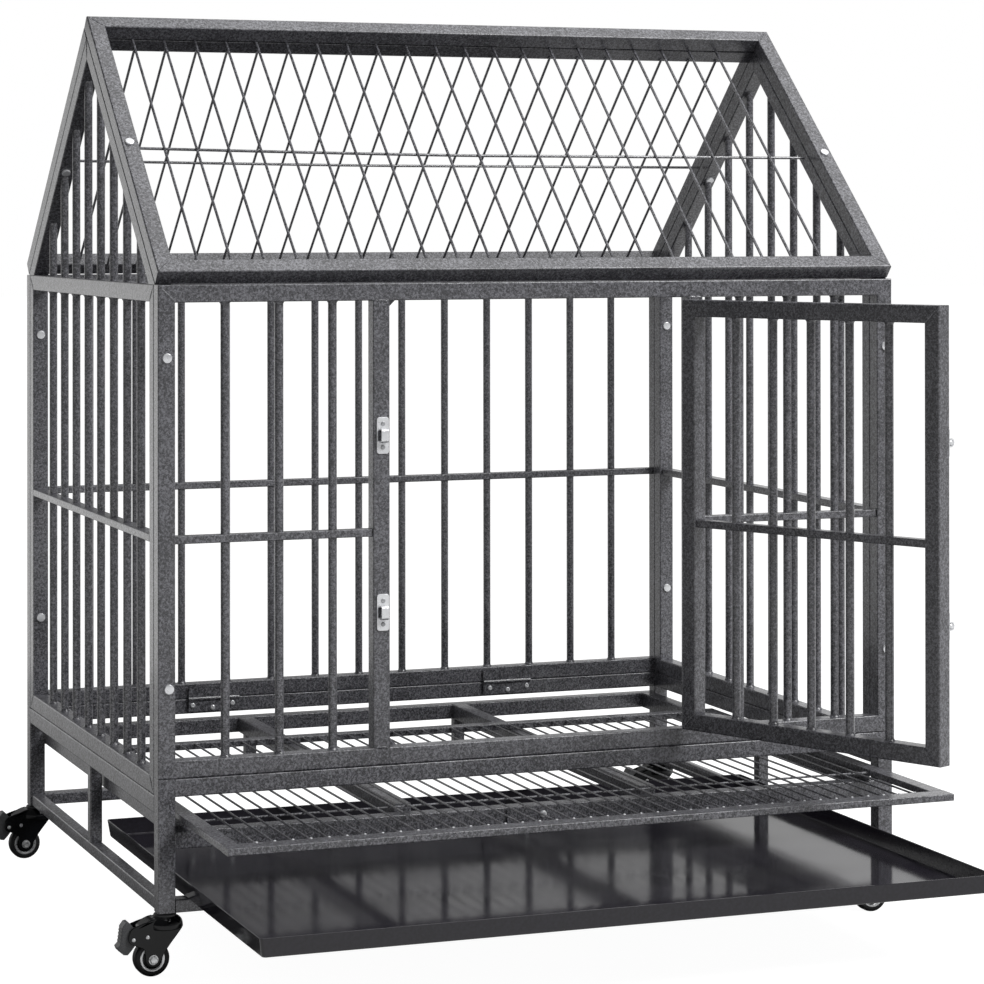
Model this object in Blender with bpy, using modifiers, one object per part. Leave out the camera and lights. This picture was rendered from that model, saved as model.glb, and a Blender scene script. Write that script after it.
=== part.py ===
"""House-shaped dog crate on casters: bolted tube panels, a mesh roof, a swinging front
door with two slide bolts, a pull-out floor grid and a pull-out tray.

The crate is modelled with x along the front, y to the back and z up. Its own zero is the
middle of the body, at the lower edge of the front panel. The last step moves the whole
crate so that it stands on z = 0 with its bounding box centred on the origin.
The door is open, and the grid and the tray are pulled out.
"""
import math

import bmesh
import bpy
from mathutils import Matrix, Vector

# Whole crate, in metres
WIDTH = 0.920
DEPTH = 0.695
BODY_HEIGHT = 0.552
ROOF_PITCH = math.radians(41.46)
LEG_DROP = 0.1495
GAP = 0.0003

# Sections
TUBE = 0.020
THIN_TUBE = 0.015
BAR_DIAMETER = 0.010
BAR_SIDES = 6
MID_RAIL_HEIGHT = 0.009
MID_RAIL_DEPTH = 0.014
MID_RAIL_SHARE = 0.482
WELD_SINK = 0.0015
FLUSH_STEP = 0.0001

# Bars
FRONT_BAR_PITCH = 0.0635
FRONT_BAR_COUNT = 3
FRONT_LEFT_MARGIN = 0.060
FRONT_RIGHT_MARGIN = 0.0535
BACK_BAR_COUNT = 13
SIDE_BAR_PITCH = 0.066
SIDE_BAR_COUNT = 8

# Roof mesh
WIRE_DIAMETER = 0.003
WIRE_SIDES = 4
ROOF_WIRE_PITCH = 0.0394
ROOF_WIRE_COUNT = 21
# How far the wires of each panel stand from its middle, toward the crate's right
ROOF_WIRE_SHIFTS = {"front": -0.0085, "back": -0.003}
ROOF_EAVE_LAP = 0.010
ROOF_RIDGE_LAP = 0.005
ROOF_CROSS_MARGIN = 0.004
WIRE_WELD = 0.0004

# Base
FRONT_THIRD_RAIL_TOP = -0.0585
GRID_SHELF_TOP = -0.049
CROSS_BAR_LEFT = -0.165
CROSS_BAR_RIGHT = 0.143
BACK_POST_LEFT = -0.156
BACK_POST_RIGHT = 0.145

# Door
OPENING_WIDTH = 0.374
DOOR_LATCH_GAP = 0.0025
DOOR_HINGE_GAP = 0.0015
DOOR_END_GAP = 0.0022
DOOR_PROUD = 0.0006
DOOR_BAR_COUNT = 5
DOOR_OPEN_ANGLE = math.radians(115.5)
DOOR_STOP_LEG = 0.014
DOOR_STOP_THICKNESS = 0.003

# Door hinges
HINGE_AXIS_OUT = 0.0045
HINGE_AXIS_SIDE = 0.0045
HINGE_BARREL_RADIUS = 0.004
HINGE_PIN_RADIUS = 0.00175
HINGE_PIN_CLEARANCE = 0.0002
HINGE_HEIGHT = 0.060
HINGE_LEAF = 0.002
HINGE_LEAF_REACH = 0.0165
HINGE_INSET = 0.095
HINGE_PIN_HEAD_RADIUS = 0.0028

# Slide bolts
LOWER_LATCH_LEVEL = 0.175
UPPER_LATCH_DROP = 0.1745
BOLT_RADIUS = 0.003
BOLT_CLEARANCE = 0.0003
BOLT_SETBACK = 0.0005
BOLT_HANDLE_RADIUS = 0.002
BOLT_HANDLE_OUT = 0.013
BOLT_KNOB_RADIUS = 0.0036
# The knob's outline from its end, in knob radii: (radius, distance from the end)
BOLT_KNOB = ((0.0, 0.0), (0.7, 0.2), (1.0, 0.8), (0.7, 1.4))
BOLT_NECK = 1.6
BOLT_SIDES = 16
LATCH_PLATE_HEIGHT = 0.033
LATCH_PLATE = 0.0015
LATCH_CORNER = 0.0036
LATCH_MARGIN = 0.001
HOUSING_WALL = 0.0016
KEEPER_PLATE_HEIGHT = 0.0426
KEEPER_PLATE_WIDTH = 0.016
KEEPER_CORNER = 0.0072
KEEPER_CORNER_STEPS = 5
KEEPER_BRIDGE_WIDTH = 0.009
KEEPER_BRIDGE_HEIGHT = 0.016

# Floor grid
GRID_HEIGHT = 0.008
GRID_SIDE_PLAY = 0.005
GRID_DEPTH = 0.665
GRID_FRONT_RAIL = 0.025
GRID_EDGE = 0.018
GRID_WIRE = 0.0025
GRID_WIRE_SET = 0.0008
GRID_WIRE_COUNT = 40
GRID_WIRE_PLAY = 0.0001
GRID_CROSS_COUNT = 3
GRID_PULL = 0.197

# Tray
TRAY_SIDE_PLAY = 0.010
TRAY_DEPTH = 0.670
TRAY_HEIGHT = 0.021
TRAY_SHEET = 0.0015
TRAY_PULL = 0.300

# Turn catch
CATCH_LENGTH = 0.090
CATCH_WIDTH = 0.020
CATCH_THICKNESS = 0.003
CATCH_BOLT_RADIUS = 0.0025
CATCH_BOLT_HEAD_RADIUS = 0.0042
CATCH_BOLT_HEAD = 0.0022
CATCH_BOLT_CLEARANCE = 0.0003
CATCH_BOLT_DEPTH = 0.012

# Fold hinges
FOLD_HINGE_LENGTH = 0.070
FOLD_LEAF_HEIGHT = 0.017
FOLD_LEAF = 0.002
FOLD_BARREL_RADIUS = 0.003
FOLD_HINGE_PLACES = {"left": -0.210, "right": 0.213}

# Casters
WHEEL_RADIUS = 0.020
WHEEL_WIDTH = 0.017
HUB_RADIUS = 0.0145
HUB_RIM = 0.0022
HUB_RECESS = 0.0034
TYRE_SHOULDER = 0.0034
AXLE_RADIUS = 0.003
AXLE_HEAD_RADIUS = 0.0055
AXLE_HEAD = 0.003
AXLE_CLEARANCE = 0.0003
AXLE_DROP = 0.0495
TRAIL = 0.016
STEM_RADIUS = 0.004
STEM_LENGTH = 0.024
STEM_FLANGE_RADIUS = 0.013
STEM_FLANGE = 0.0027
STEM_RIVET_RADIUS = 0.0064
STEM_RIVET = 0.002
HEAD_CROWN = 0.8
CROWN_RADIUS = 0.020
CROWN_HEIGHT = 0.0137
# The crown's outer side, in crown radii and in crown heights down
CROWN_SIDE = ((0.7, 0.0), (0.92, 0.22), (1.0, 0.58), (1.0, 1.0))
CHEEK = 0.0025
CHEEK_CLEARANCE = 0.0008
CHEEK_LOBE = 0.0091
CHEEK_HEEL = 0.006
# The cheek under the crown, in crown radii forward and in crown heights down
CHEEK_SHOULDER = ((0.78, 0.29), (0.92, 0.66), (0.78, 1.0))
# The cheek beside the axle: lobe radii ahead of it and behind it, and heights
CHEEK_THROAT_AHEAD = 1.8
CHEEK_THROAT_SHARE = 0.75
CHEEK_THROAT_BEHIND = (0.95, 1.3)
# The cheek about the pedal's pin, below it and above it
CHEEK_UNDER_PIN = (0.005, -0.008)
CHEEK_OVER_PIN = ((-0.004, 0.011), (0.001, 0.0145))
CHEEK_BACK = (0.8, 0.002)
HOOD_START = 0.012
HOOD_END_AHEAD = 0.0055
HOOD_SLOPE = 0.33
HOOD_SHEET = 0.003
HOOD_DROP = 0.0015
PEDAL_WIDTH = 0.016
PEDAL_PIN_RADIUS = 0.00175
PEDAL_PIN_CLEARANCE = 0.0003
PEDAL_PIN_BACK = 0.0384
PEDAL_PIN_DROP = 0.026
# The pedal's side view about its pin, in metres backwards and up
PEDAL_OUTLINE = ((-0.0066, 0.021), (-0.0126, 0.014), (-0.0146, -0.001), (-0.0191, -0.009),
                 (-0.0076, -0.019), (-0.0001, -0.011), (0.0049, -0.004), (0.0049, 0.004),
                 (-0.0001, 0.015))
ROUND_STEPS = 12
TYRE_STEPS = 16
PIN_SIDES = 8
MERGE_DISTANCE = 0.00001
SHARP_ANGLE = math.radians(35)

# Finishes: colour (linear), roughness, metallic
FINISHES = {
    "hammered_coat": ((0.060, 0.060, 0.065), 0.45, 0.6),
    "tray_enamel": ((0.020, 0.020, 0.024), 0.15, 0.0),
    "zinc": ((0.62, 0.62, 0.63), 0.30, 1.0),
    "black_steel": ((0.030, 0.030, 0.033), 0.50, 0.4),
    "black_nylon": ((0.014, 0.014, 0.015), 0.25, 0.0),
    "grey_nylon": ((0.070, 0.070, 0.072), 0.60, 0.0),
    "tyre_rubber": ((0.018, 0.018, 0.018), 0.60, 0.0),
}

# Values that follow from the sizes above
HALF_WIDTH = WIDTH / 2
FRONT = -DEPTH / 2
BACK = DEPTH / 2
POST_X = HALF_WIDTH - TUBE / 2
SIDE_REACH = DEPTH / 2 - TUBE - GAP
SIDE_SEAM = -TUBE
BASE_TOP = SIDE_SEAM - GAP
BAR_RADIUS = BAR_DIAMETER / 2
WIRE_RADIUS = WIRE_DIAMETER / 2
OPENING_HALF = OPENING_WIDTH / 2
PITCH_SIN = math.sin(ROOF_PITCH)
PITCH_COS = math.cos(ROOF_PITCH)
PITCH_TAN = math.tan(ROOF_PITCH)
EAVE_Z = BODY_HEIGHT + GAP + TUBE * PITCH_COS
RIDGE_Z = EAVE_Z + DEPTH / 2 * PITCH_TAN
GABLE_APEX_Z = RIDGE_Z - (TUBE + GAP) / PITCH_COS
GABLE_FOOT_Z = BODY_HEIGHT + GAP
GABLE_FOOT_Y = (GABLE_APEX_Z - GABLE_FOOT_Z) / PITCH_TAN
GABLE_INNER_APEX_Z = GABLE_APEX_Z - TUBE / PITCH_COS
HINGE_X = OPENING_HALF - DOOR_HINGE_GAP + HINGE_AXIS_SIDE
HINGE_Y = FRONT - HINGE_AXIS_OUT
DOOR_WIDTH = OPENING_WIDTH - DOOR_LATCH_GAP - DOOR_HINGE_GAP
DOOR_HEIGHT = BODY_HEIGHT - 2 * TUBE - 2 * DOOR_END_GAP
MID_RAIL_LEVEL = BODY_HEIGHT * MID_RAIL_SHARE
HINGE_LEVELS = {"lower": HINGE_INSET, "upper": BODY_HEIGHT - HINGE_INSET}
LATCH_LEVELS = {"lower": LOWER_LATCH_LEVEL, "upper": BODY_HEIGHT - UPPER_LATCH_DROP}
GRID_HALF = HALF_WIDTH - TUBE - GRID_SIDE_PLAY
TRAY_HALF = HALF_WIDTH - TUBE - TRAY_SIDE_PLAY
LEG_FOOT = -LEG_DROP


def collection(name):
    group = bpy.data.collections.new(name)
    bpy.context.scene.collection.children.link(group)
    return group


def finish_of(name, kind):
    colour, roughness, metallic = FINISHES[kind]
    material = bpy.data.materials.new(name + "_" + kind)
    material.use_nodes = True
    shader = material.node_tree.nodes["Principled BSDF"]
    shader.inputs["Base Color"].default_value = (*colour, 1.0)
    shader.inputs["Roughness"].default_value = roughness
    shader.inputs["Metallic"].default_value = metallic
    return material


def from_bmesh(bm, name="shape"):
    mesh = bpy.data.meshes.new(name)
    bm.to_mesh(mesh)
    bm.free()
    obj = bpy.data.objects.new(name, mesh)
    bpy.context.scene.collection.objects.link(obj)
    return obj


def settle(obj):
    """Replace the object's data by the mesh that its modifiers make."""
    bpy.context.view_layer.update()
    evaluated = obj.evaluated_get(bpy.context.evaluated_depsgraph_get())
    mesh = bpy.data.meshes.new_from_object(evaluated)
    obj.modifiers.clear()
    obj.data = mesh
    return obj


def combine(target, tool, operation):
    modifier = target.modifiers.new(operation.lower(), "BOOLEAN")
    modifier.operation = operation
    modifier.solver = "EXACT"
    modifier.object = tool
    settle(target)
    bpy.data.objects.remove(tool)
    return target


def weld(target, *tools):
    for tool in tools:
        combine(target, tool, "UNION")
    return target


def cut(target, *tools):
    for tool in tools:
        combine(target, tool, "DIFFERENCE")
    return target


def rods(runs, radius, sides):
    """Round bars, one for each (start, end) pair."""
    bm = bmesh.new()
    for start, end in runs:
        start, end = Vector(start), Vector(end)
        turn = (end - start).to_track_quat("Z", "Y").to_matrix().to_4x4()
        matrix = Matrix.Translation((start + end) / 2) @ turn
        matrix = matrix @ Matrix.Rotation(math.pi / sides, 4, "Z")
        bmesh.ops.create_cone(bm, cap_ends=True, segments=sides, radius1=radius,
                              radius2=radius, depth=(end - start).length, matrix=matrix)
    return from_bmesh(bm)


def wires(runs):
    """Mesh wires of few sides, with the wire's diameter measured across the flats."""
    return rods(runs, WIRE_RADIUS / math.cos(math.pi / WIRE_SIDES), WIRE_SIDES)


def blocks(*corners):
    """Square-edged blocks, one for each (low corner, high corner) pair."""
    bm = bmesh.new()
    for low, high in corners:
        low, high = Vector(low), Vector(high)
        size = Matrix.Diagonal((*(high - low), 1.0))
        bmesh.ops.create_cube(bm, size=1.0, matrix=Matrix.Translation((low + high) / 2) @ size)
    return from_bmesh(bm)


def plate(outline, holes, thickness):
    """A flat outline with holes, given as lists of points, centred on the local xy plane."""
    curve = bpy.data.curves.new("outline", "CURVE")
    curve.dimensions = "2D"
    curve.fill_mode = "BOTH"
    curve.extrude = thickness / 2
    for points in (outline, *holes):
        spline = curve.splines.new("POLY")
        spline.points.add(len(points) - 1)
        for point, (x, y) in zip(spline.points, points):
            point.co = (x, y, 0.0, 1.0)
        spline.use_cyclic_u = True
    flat = bpy.data.objects.new("outline", curve)
    bpy.context.scene.collection.objects.link(flat)
    bpy.context.view_layer.update()
    evaluated = flat.evaluated_get(bpy.context.evaluated_depsgraph_get())
    bm = bmesh.new()
    bm.from_mesh(bpy.data.meshes.new_from_object(evaluated))
    bpy.data.objects.remove(flat)
    bmesh.ops.remove_doubles(bm, verts=bm.verts, dist=MERGE_DISTANCE)
    bmesh.ops.dissolve_limit(bm, angle_limit=math.radians(1), verts=bm.verts, edges=bm.edges)
    bmesh.ops.recalc_face_normals(bm, faces=bm.faces)
    return from_bmesh(bm)


def turned(profile, steps=ROUND_STEPS, ring=False):
    """A turned shape about z. The profile of (radius, height) runs down its outer side."""
    bm = bmesh.new()
    points = [bm.verts.new((radius, 0.0, height)) for radius, height in profile]
    for first, second in zip(points, points[1:]):
        bm.edges.new((first, second))
    if ring:
        bm.edges.new((points[-1], points[0]))
    obj = from_bmesh(bm)
    screw = obj.modifiers.new("turn", "SCREW")
    screw.axis = "Z"
    screw.angle = 2 * math.pi
    screw.steps = steps
    screw.render_steps = steps
    screw.use_merge_vertices = True
    screw.merge_threshold = MERGE_DISTANCE
    return settle(obj)


def rectangle(x0, y0, x1, y1):
    return [(x0, y0), (x1, y0), (x1, y1), (x0, y1)]


def arc(cx, cy, radius, start, end, steps):
    """Points on an arc from one angle to another, both in degrees."""
    points = []
    for step in range(steps + 1):
        angle = math.radians(start + (end - start) * step / steps)
        points.append((cx + radius * math.cos(angle), cy + radius * math.sin(angle)))
    return points


def rounded(half_x, half_y, radius, steps=3):
    """A rectangle about the origin with round corners."""
    x, y = half_x - radius, half_y - radius
    return (arc(x, y, radius, 0, 90, steps) + arc(-x, y, radius, 90, 180, steps)
            + arc(-x, -y, radius, 180, 270, steps) + arc(x, -y, radius, 270, 360, steps))


def bake(obj, matrix):
    """Move the mesh itself, so that the object's own place stays free."""
    obj.data.transform(matrix)
    return obj


def stand(obj, matrix=None):
    """Turn a flat piece upright: local x stays, local y goes up, local z faces front."""
    bake(obj, Matrix.Rotation(math.pi / 2, 4, "X"))
    return bake(obj, matrix) if matrix is not None else obj


def empty(name, place, parent, group):
    axis = bpy.data.objects.new(name, None)
    axis.empty_display_size = TUBE
    axis.location = place
    axis.parent = parent
    group.objects.link(axis)
    return axis


def node(obj, name, kind, parent, group, place=(0, 0, 0), turn=(0, 0, 0)):
    """Name a finished piece, give it its material and put it in its place."""
    obj.name = name
    obj.data.name = name
    obj.data.materials.clear()
    obj.data.materials.append(finish_of(name, kind))
    bpy.context.scene.collection.objects.unlink(obj)
    group.objects.link(obj)
    obj.parent = parent
    obj.location = place
    obj.rotation_euler = turn
    obj.data.shade_smooth()
    obj.data.set_sharp_from_angle(angle=SHARP_ANGLE)
    return obj


def mid_rail(x0, x1, level, inner=MID_RAIL_DEPTH / 2, outer=MID_RAIL_DEPTH / 2):
    half = MID_RAIL_HEIGHT / 2
    return blocks(((x0 - WELD_SINK, level - half, -inner), (x1 + WELD_SINK, level + half, outer)))


def upright_bars(places, low, high):
    runs = [((x, low - WELD_SINK, 0), (x, high + WELD_SINK, 0)) for x in places]
    return rods(runs, BAR_RADIUS, BAR_SIDES)


def front_panel():
    """Corner posts, door posts, bars either side of the doorway and two corner door stops."""
    inner, post = HALF_WIDTH - TUBE, OPENING_HALF + TUBE
    low, high = TUBE, BODY_HEIGHT - TUBE
    frame = plate(rectangle(-HALF_WIDTH, 0, HALF_WIDTH, BODY_HEIGHT),
                  [rectangle(-inner, low, -post, high),
                   rectangle(-OPENING_HALF, low, OPENING_HALF, high),
                   rectangle(post, low, inner, high)], TUBE)
    steps = [FRONT_BAR_PITCH * step for step in range(FRONT_BAR_COUNT)]
    left = [-inner + FRONT_LEFT_MARGIN + step for step in steps]
    right = [inner - FRONT_RIGHT_MARGIN - step for step in steps]
    weld(frame, upright_bars(left + right, low, high))
    weld(frame, mid_rail(-inner, -post, MID_RAIL_LEVEL))
    weld(frame, mid_rail(post, inner, MID_RAIL_LEVEL))
    lap = DOOR_STOP_THICKNESS * 2
    stop_face = -TUBE / 2 + DOOR_PROUD / 3
    for corner, way in ((low, 1), (high, -1)):
        outline = [(-OPENING_HALF - lap, corner - way * lap),
                   (-OPENING_HALF + DOOR_STOP_LEG + lap, corner - way * lap),
                   (-OPENING_HALF - lap, corner + way * (DOOR_STOP_LEG + lap))]
        stop = plate(outline[::way], [], DOOR_STOP_THICKNESS)
        bake(stop, Matrix.Translation((0, 0, stop_face - DOOR_STOP_THICKNESS / 2)))
        weld(frame, stop)
    return stand(frame)


def back_panel():
    inner = HALF_WIDTH - TUBE
    low, high = SIDE_SEAM + TUBE, BODY_HEIGHT - TUBE
    frame = plate(rectangle(-HALF_WIDTH, SIDE_SEAM, HALF_WIDTH, BODY_HEIGHT),
                  [rectangle(-inner, low, inner, high)], TUBE)
    pitch = 2 * inner / (BACK_BAR_COUNT + 1)
    places = [-inner + pitch * (bar + 1) for bar in range(BACK_BAR_COUNT)]
    weld(frame, upright_bars(places, low, high))
    weld(frame, mid_rail(-inner, inner, MID_RAIL_LEVEL))
    return stand(frame)


def side_panel(outward):
    """A side with its gable. Local x runs to the back, so the outer face is at +-z."""
    inner = SIDE_REACH - TUBE
    low, high = SIDE_SEAM + TUBE, BODY_HEIGHT - TUBE
    inner_foot = (GABLE_INNER_APEX_Z - BODY_HEIGHT) / PITCH_TAN
    outline = [(-SIDE_REACH, SIDE_SEAM), (SIDE_REACH, SIDE_SEAM), (SIDE_REACH, GABLE_FOOT_Z),
               (GABLE_FOOT_Y, GABLE_FOOT_Z), (0, GABLE_APEX_Z),
               (-GABLE_FOOT_Y, GABLE_FOOT_Z), (-SIDE_REACH, GABLE_FOOT_Z)]
    gable_hole = [(-inner_foot, BODY_HEIGHT), (inner_foot, BODY_HEIGHT), (0, GABLE_INNER_APEX_Z)]
    frame = plate(outline, [rectangle(-inner, low, inner, high), gable_hole], TUBE)
    middle = (SIDE_BAR_COUNT - 1) / 2
    places = [SIDE_BAR_PITCH * (bar - middle) for bar in range(SIDE_BAR_COUNT)]
    weld(frame, upright_bars(places, low, high))
    sink = BAR_RADIUS * PITCH_TAN + WELD_SINK
    runs = [((y, BODY_HEIGHT - WELD_SINK, 0),
             (y, GABLE_INNER_APEX_Z - abs(y) * PITCH_TAN + sink, 0)) for y in places]
    weld(frame, rods(runs, BAR_RADIUS, BAR_SIDES))
    flush, inside = TUBE / 2, MID_RAIL_DEPTH / 2
    reach = (inside, flush) if outward > 0 else (flush, inside)
    weld(frame, mid_rail(-inner, inner, MID_RAIL_LEVEL, *reach))
    return bake(frame, Matrix.Rotation(math.pi / 2, 4, "Z") @ Matrix.Rotation(math.pi / 2, 4, "X"))


def roof_panel(length, shift):
    """A roof frame with its wire mesh. Local x is along the ridge, y up the slope, z outward."""
    inner = HALF_WIDTH - TUBE
    frame = plate(rectangle(-HALF_WIDTH, 0, HALF_WIDTH, length),
                  [rectangle(-inner, TUBE, inner, length - TUBE)], TUBE)
    bake(frame, Matrix.Translation((0, 0, -TUBE / 2)))
    middle = (ROOF_WIRE_COUNT - 1) / 2
    under = -TUBE - WIRE_RADIUS + WIRE_WELD
    runs = []
    for wire in range(ROOF_WIRE_COUNT):
        x = shift + ROOF_WIRE_PITCH * (wire - middle)
        runs.append(((x, TUBE - ROOF_EAVE_LAP, under), (x, length - TUBE + ROOF_RIDGE_LAP, under)))
    cross = under - WIRE_DIAMETER + WIRE_WELD
    reach = inner - ROOF_CROSS_MARGIN
    cross_wire = wires([((-reach, length / 2, cross), (reach, length / 2, cross))])
    return weld(frame, weld(wires(runs), cross_wire))


def base_end_frame(third_rail_top, top_rail_top, posts):
    """Front or back frame of the base: legs, two rails, a thin foot rail and stem bores."""
    inner = HALF_WIDTH - TUBE
    foot_rail_top = LEG_FOOT + THIN_TUBE
    third_low = third_rail_top - TUBE
    frame = plate(rectangle(-HALF_WIDTH, LEG_FOOT, HALF_WIDTH, top_rail_top),
                  [rectangle(-inner, foot_rail_top, inner, third_low),
                   rectangle(-inner, third_rail_top, inner, top_rail_top - TUBE)], TUBE)
    for x in posts:
        half = THIN_TUBE / 2
        weld(frame, blocks(((x - half, foot_rail_top - WELD_SINK, -half),
                            (x + half, third_low + WELD_SINK, half))))
    bores = [((x, LEG_FOOT - STEM_RADIUS, 0), (x, LEG_FOOT + STEM_LENGTH + 2 * GAP, 0))
             for x in (-POST_X, POST_X)]
    cut(frame, rods(bores, STEM_RADIUS + GAP, ROUND_STEPS))
    return frame


def base_side_frame():
    """Top rail, foot rail and the middle post, between the end frames."""
    thin = THIN_TUBE / 2
    rail_low = BASE_TOP - TUBE
    foot_top = LEG_FOOT + THIN_TUBE
    top = blocks(((-SIDE_REACH, rail_low, -TUBE / 2), (SIDE_REACH, BASE_TOP, TUBE / 2)))
    foot = blocks(((-SIDE_REACH, LEG_FOOT, -thin), (SIDE_REACH, foot_top, thin)))
    eased = thin - FLUSH_STEP
    post = blocks(((-thin, foot_top - WELD_SINK, -eased), (thin, rail_low + WELD_SINK, eased)))
    weld(top, post, foot)
    return bake(top, Matrix.Rotation(math.pi / 2, 4, "Z") @ Matrix.Rotation(math.pi / 2, 4, "X"))


def shelf_rail():
    """A tube from the front frame to the back frame, its top at the grid's shelf."""
    half = TUBE / 2
    return blocks(((-half, -SIDE_REACH, GRID_SHELF_TOP - TUBE), (half, SIDE_REACH, GRID_SHELF_TOP)))


def door_frame():
    """The closed door about its hinge axis: local x runs from the hinge to the latch side."""
    near = HINGE_AXIS_SIDE
    far = near + DOOR_WIDTH
    inner_near, inner_far = near + TUBE, far - TUBE
    frame = plate(rectangle(-far, 0, -near, DOOR_HEIGHT),
                  [rectangle(-inner_far, TUBE, -inner_near, DOOR_HEIGHT - TUBE)], TUBE)
    pitch = (inner_far - inner_near) / (DOOR_BAR_COUNT + 1)
    places = [-inner_near - pitch * (bar + 1) for bar in range(DOOR_BAR_COUNT)]
    weld(frame, upright_bars(places, TUBE, DOOR_HEIGHT - TUBE))
    level = MID_RAIL_LEVEL - TUBE - DOOR_END_GAP
    weld(frame, mid_rail(-inner_far, -inner_near, level))
    return stand(frame, Matrix.Translation((0, HINGE_AXIS_OUT - DOOR_PROUD + TUBE / 2, 0)))


def hinge_leaf(way, face, knuckles):
    """A hinge leaf about the pin axis, with its knuckles as (low, high) levels."""
    clear = HINGE_BARREL_RADIUS + HINGE_LEAF / 4
    low, high = face - GAP - HINGE_LEAF, face - GAP
    near, far = sorted((way * clear, way * HINGE_LEAF_REACH))
    leaf = blocks(((near, low, 0), (far, high, HINGE_HEIGHT)))
    for bottom, top in knuckles:
        near, far = sorted((0.0, way * (clear + HINGE_LEAF / 2)))
        weld(leaf, blocks(((near, low + GAP / 3, bottom), (far, high - GAP / 3, top))))
        weld(leaf, rods([((0, 0, bottom), (0, 0, top))], HINGE_BARREL_RADIUS, ROUND_STEPS))
    bore = HINGE_PIN_RADIUS + HINGE_PIN_CLEARANCE
    return cut(leaf, rods([((0, 0, -bore), (0, 0, HINGE_HEIGHT + bore))], bore, ROUND_STEPS))


def hinge_pin():
    head = HINGE_PIN_HEAD_RADIUS
    top = HINGE_HEIGHT + GAP
    return turned([(0, top + head / 2), (head, top + head / 4), (head, top),
                   (HINGE_PIN_RADIUS, top), (HINGE_PIN_RADIUS, -GAP), (0, -GAP)])


def bolt_axis():
    """Distance from a latch's mounting face to its bolt's axis."""
    return GAP + LATCH_PLATE + BOLT_CLEARANCE + BOLT_RADIUS


def latch_width():
    return TUBE - 2 * LATCH_MARGIN


def latch_housing():
    """A plate with a raised sleeve for the bolt, slotted for its handle.

    Local x is along the bolt, toward the hinge, y away from the door, z up.
    """
    width = latch_width()
    inside = BOLT_RADIUS + BOLT_CLEARANCE
    outside = inside + HOUSING_WALL
    axis = bolt_axis()
    plate_half = LATCH_PLATE_HEIGHT / 2
    base = plate(rounded(width / 2, plate_half, LATCH_CORNER), [], LATCH_PLATE)
    bake(stand(base), Matrix.Translation((0, -GAP - LATCH_PLATE / 2, 0)))
    eased = width / 2 - FLUSH_STEP
    shell = blocks(((-eased, -axis - outside, -outside),
                    (eased, -GAP - LATCH_PLATE / 2, outside)))
    weld(base, shell)
    cut(base, blocks(((-width, -axis - inside, -inside),
                      (width, -GAP - LATCH_PLATE, inside))))
    slot = BOLT_HANDLE_RADIUS + BOLT_CLEARANCE
    end = -eased + HOUSING_WALL
    cut(base, blocks(((end, -axis - 2 * outside, -slot), (width, -axis, slot))))
    return base


def latch_bolt():
    """The sliding rod with its handle at the inner end."""
    width = latch_width()
    tip = -TUBE / 2 + BOLT_SETBACK
    tail = width / 2
    bolt = rods([((tip, 0, 0), (tail, 0, 0))], BOLT_RADIUS, BOLT_SIDES)
    handle_x = tail - BOLT_HANDLE_RADIUS - BOLT_CLEARANCE
    knob = BOLT_KNOB_RADIUS
    profile = [(knob * radius, BOLT_HANDLE_OUT - knob * depth) for radius, depth in BOLT_KNOB]
    profile += [(BOLT_HANDLE_RADIUS, BOLT_HANDLE_OUT - knob * BOLT_NECK),
                (BOLT_HANDLE_RADIUS, BOLT_RADIUS / 3), (0, BOLT_RADIUS / 3)]
    handle = turned(profile)
    place = Matrix.Translation((handle_x, 0, 0)) @ Matrix.Rotation(math.pi / 2, 4, "X")
    return weld(bolt, bake(handle, place))


def keeper():
    """The door post's plate with its raised bridge, open along x for the bolt."""
    half_height = KEEPER_PLATE_HEIGHT / 2
    half_width = KEEPER_PLATE_WIDTH / 2
    base = plate(rounded(half_width, half_height, KEEPER_CORNER, KEEPER_CORNER_STEPS), [], LATCH_PLATE)
    bake(stand(base), Matrix.Translation((0, -GAP - LATCH_PLATE / 2, 0)))
    bridge_x = KEEPER_BRIDGE_WIDTH / 2
    bridge_z = KEEPER_BRIDGE_HEIGHT / 2
    outside = bolt_axis() + DOOR_PROUD + BOLT_RADIUS + 3 * BOLT_CLEARANCE + HOUSING_WALL
    weld(base, blocks(((-bridge_x, -outside, -bridge_z),
                       (bridge_x, -GAP - LATCH_PLATE / 2, bridge_z))))
    hole_z = bridge_z - HOUSING_WALL
    return cut(base, blocks(((-2 * bridge_x, -outside + HOUSING_WALL, -hole_z),
                             (2 * bridge_x, -GAP - LATCH_PLATE, hole_z))))


def floor_grid():
    """A flat frame with close wires from front to back, just over a few cross wires.

    Both sets are welded to the frame, the cross wires at their ends.
    """
    inner = GRID_HALF - GRID_EDGE
    front, back = GRID_FRONT_RAIL, GRID_DEPTH - GRID_EDGE
    grid = plate(rectangle(-GRID_HALF, 0, GRID_HALF, GRID_DEPTH),
                 [rectangle(-inner, front, inner, back)], GRID_HEIGHT)
    bake(grid, Matrix.Translation((0, 0, GRID_HEIGHT / 2)))
    pitch = 2 * inner / (GRID_WIRE_COUNT + 1)
    half = GRID_WIRE / 2
    top = GRID_HEIGHT - GRID_WIRE_SET
    long_wires = []
    for wire in range(GRID_WIRE_COUNT):
        x = -inner + pitch * (wire + 1)
        long_wires.append(((x - half, front - WELD_SINK, top - GRID_WIRE),
                           (x + half, back + WELD_SINK, top)))
    cross_top = top - GRID_WIRE - GRID_WIRE_PLAY
    step = (back - front) / (GRID_CROSS_COUNT + 1)
    cross_wires = []
    for wire in range(GRID_CROSS_COUNT):
        y = front + step * (wire + 1)
        cross_wires.append(((-inner - WELD_SINK, y - half, cross_top - GRID_WIRE),
                            (inner + WELD_SINK, y + half, cross_top)))
    return weld(grid, blocks(*long_wires), blocks(*cross_wires))


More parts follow.
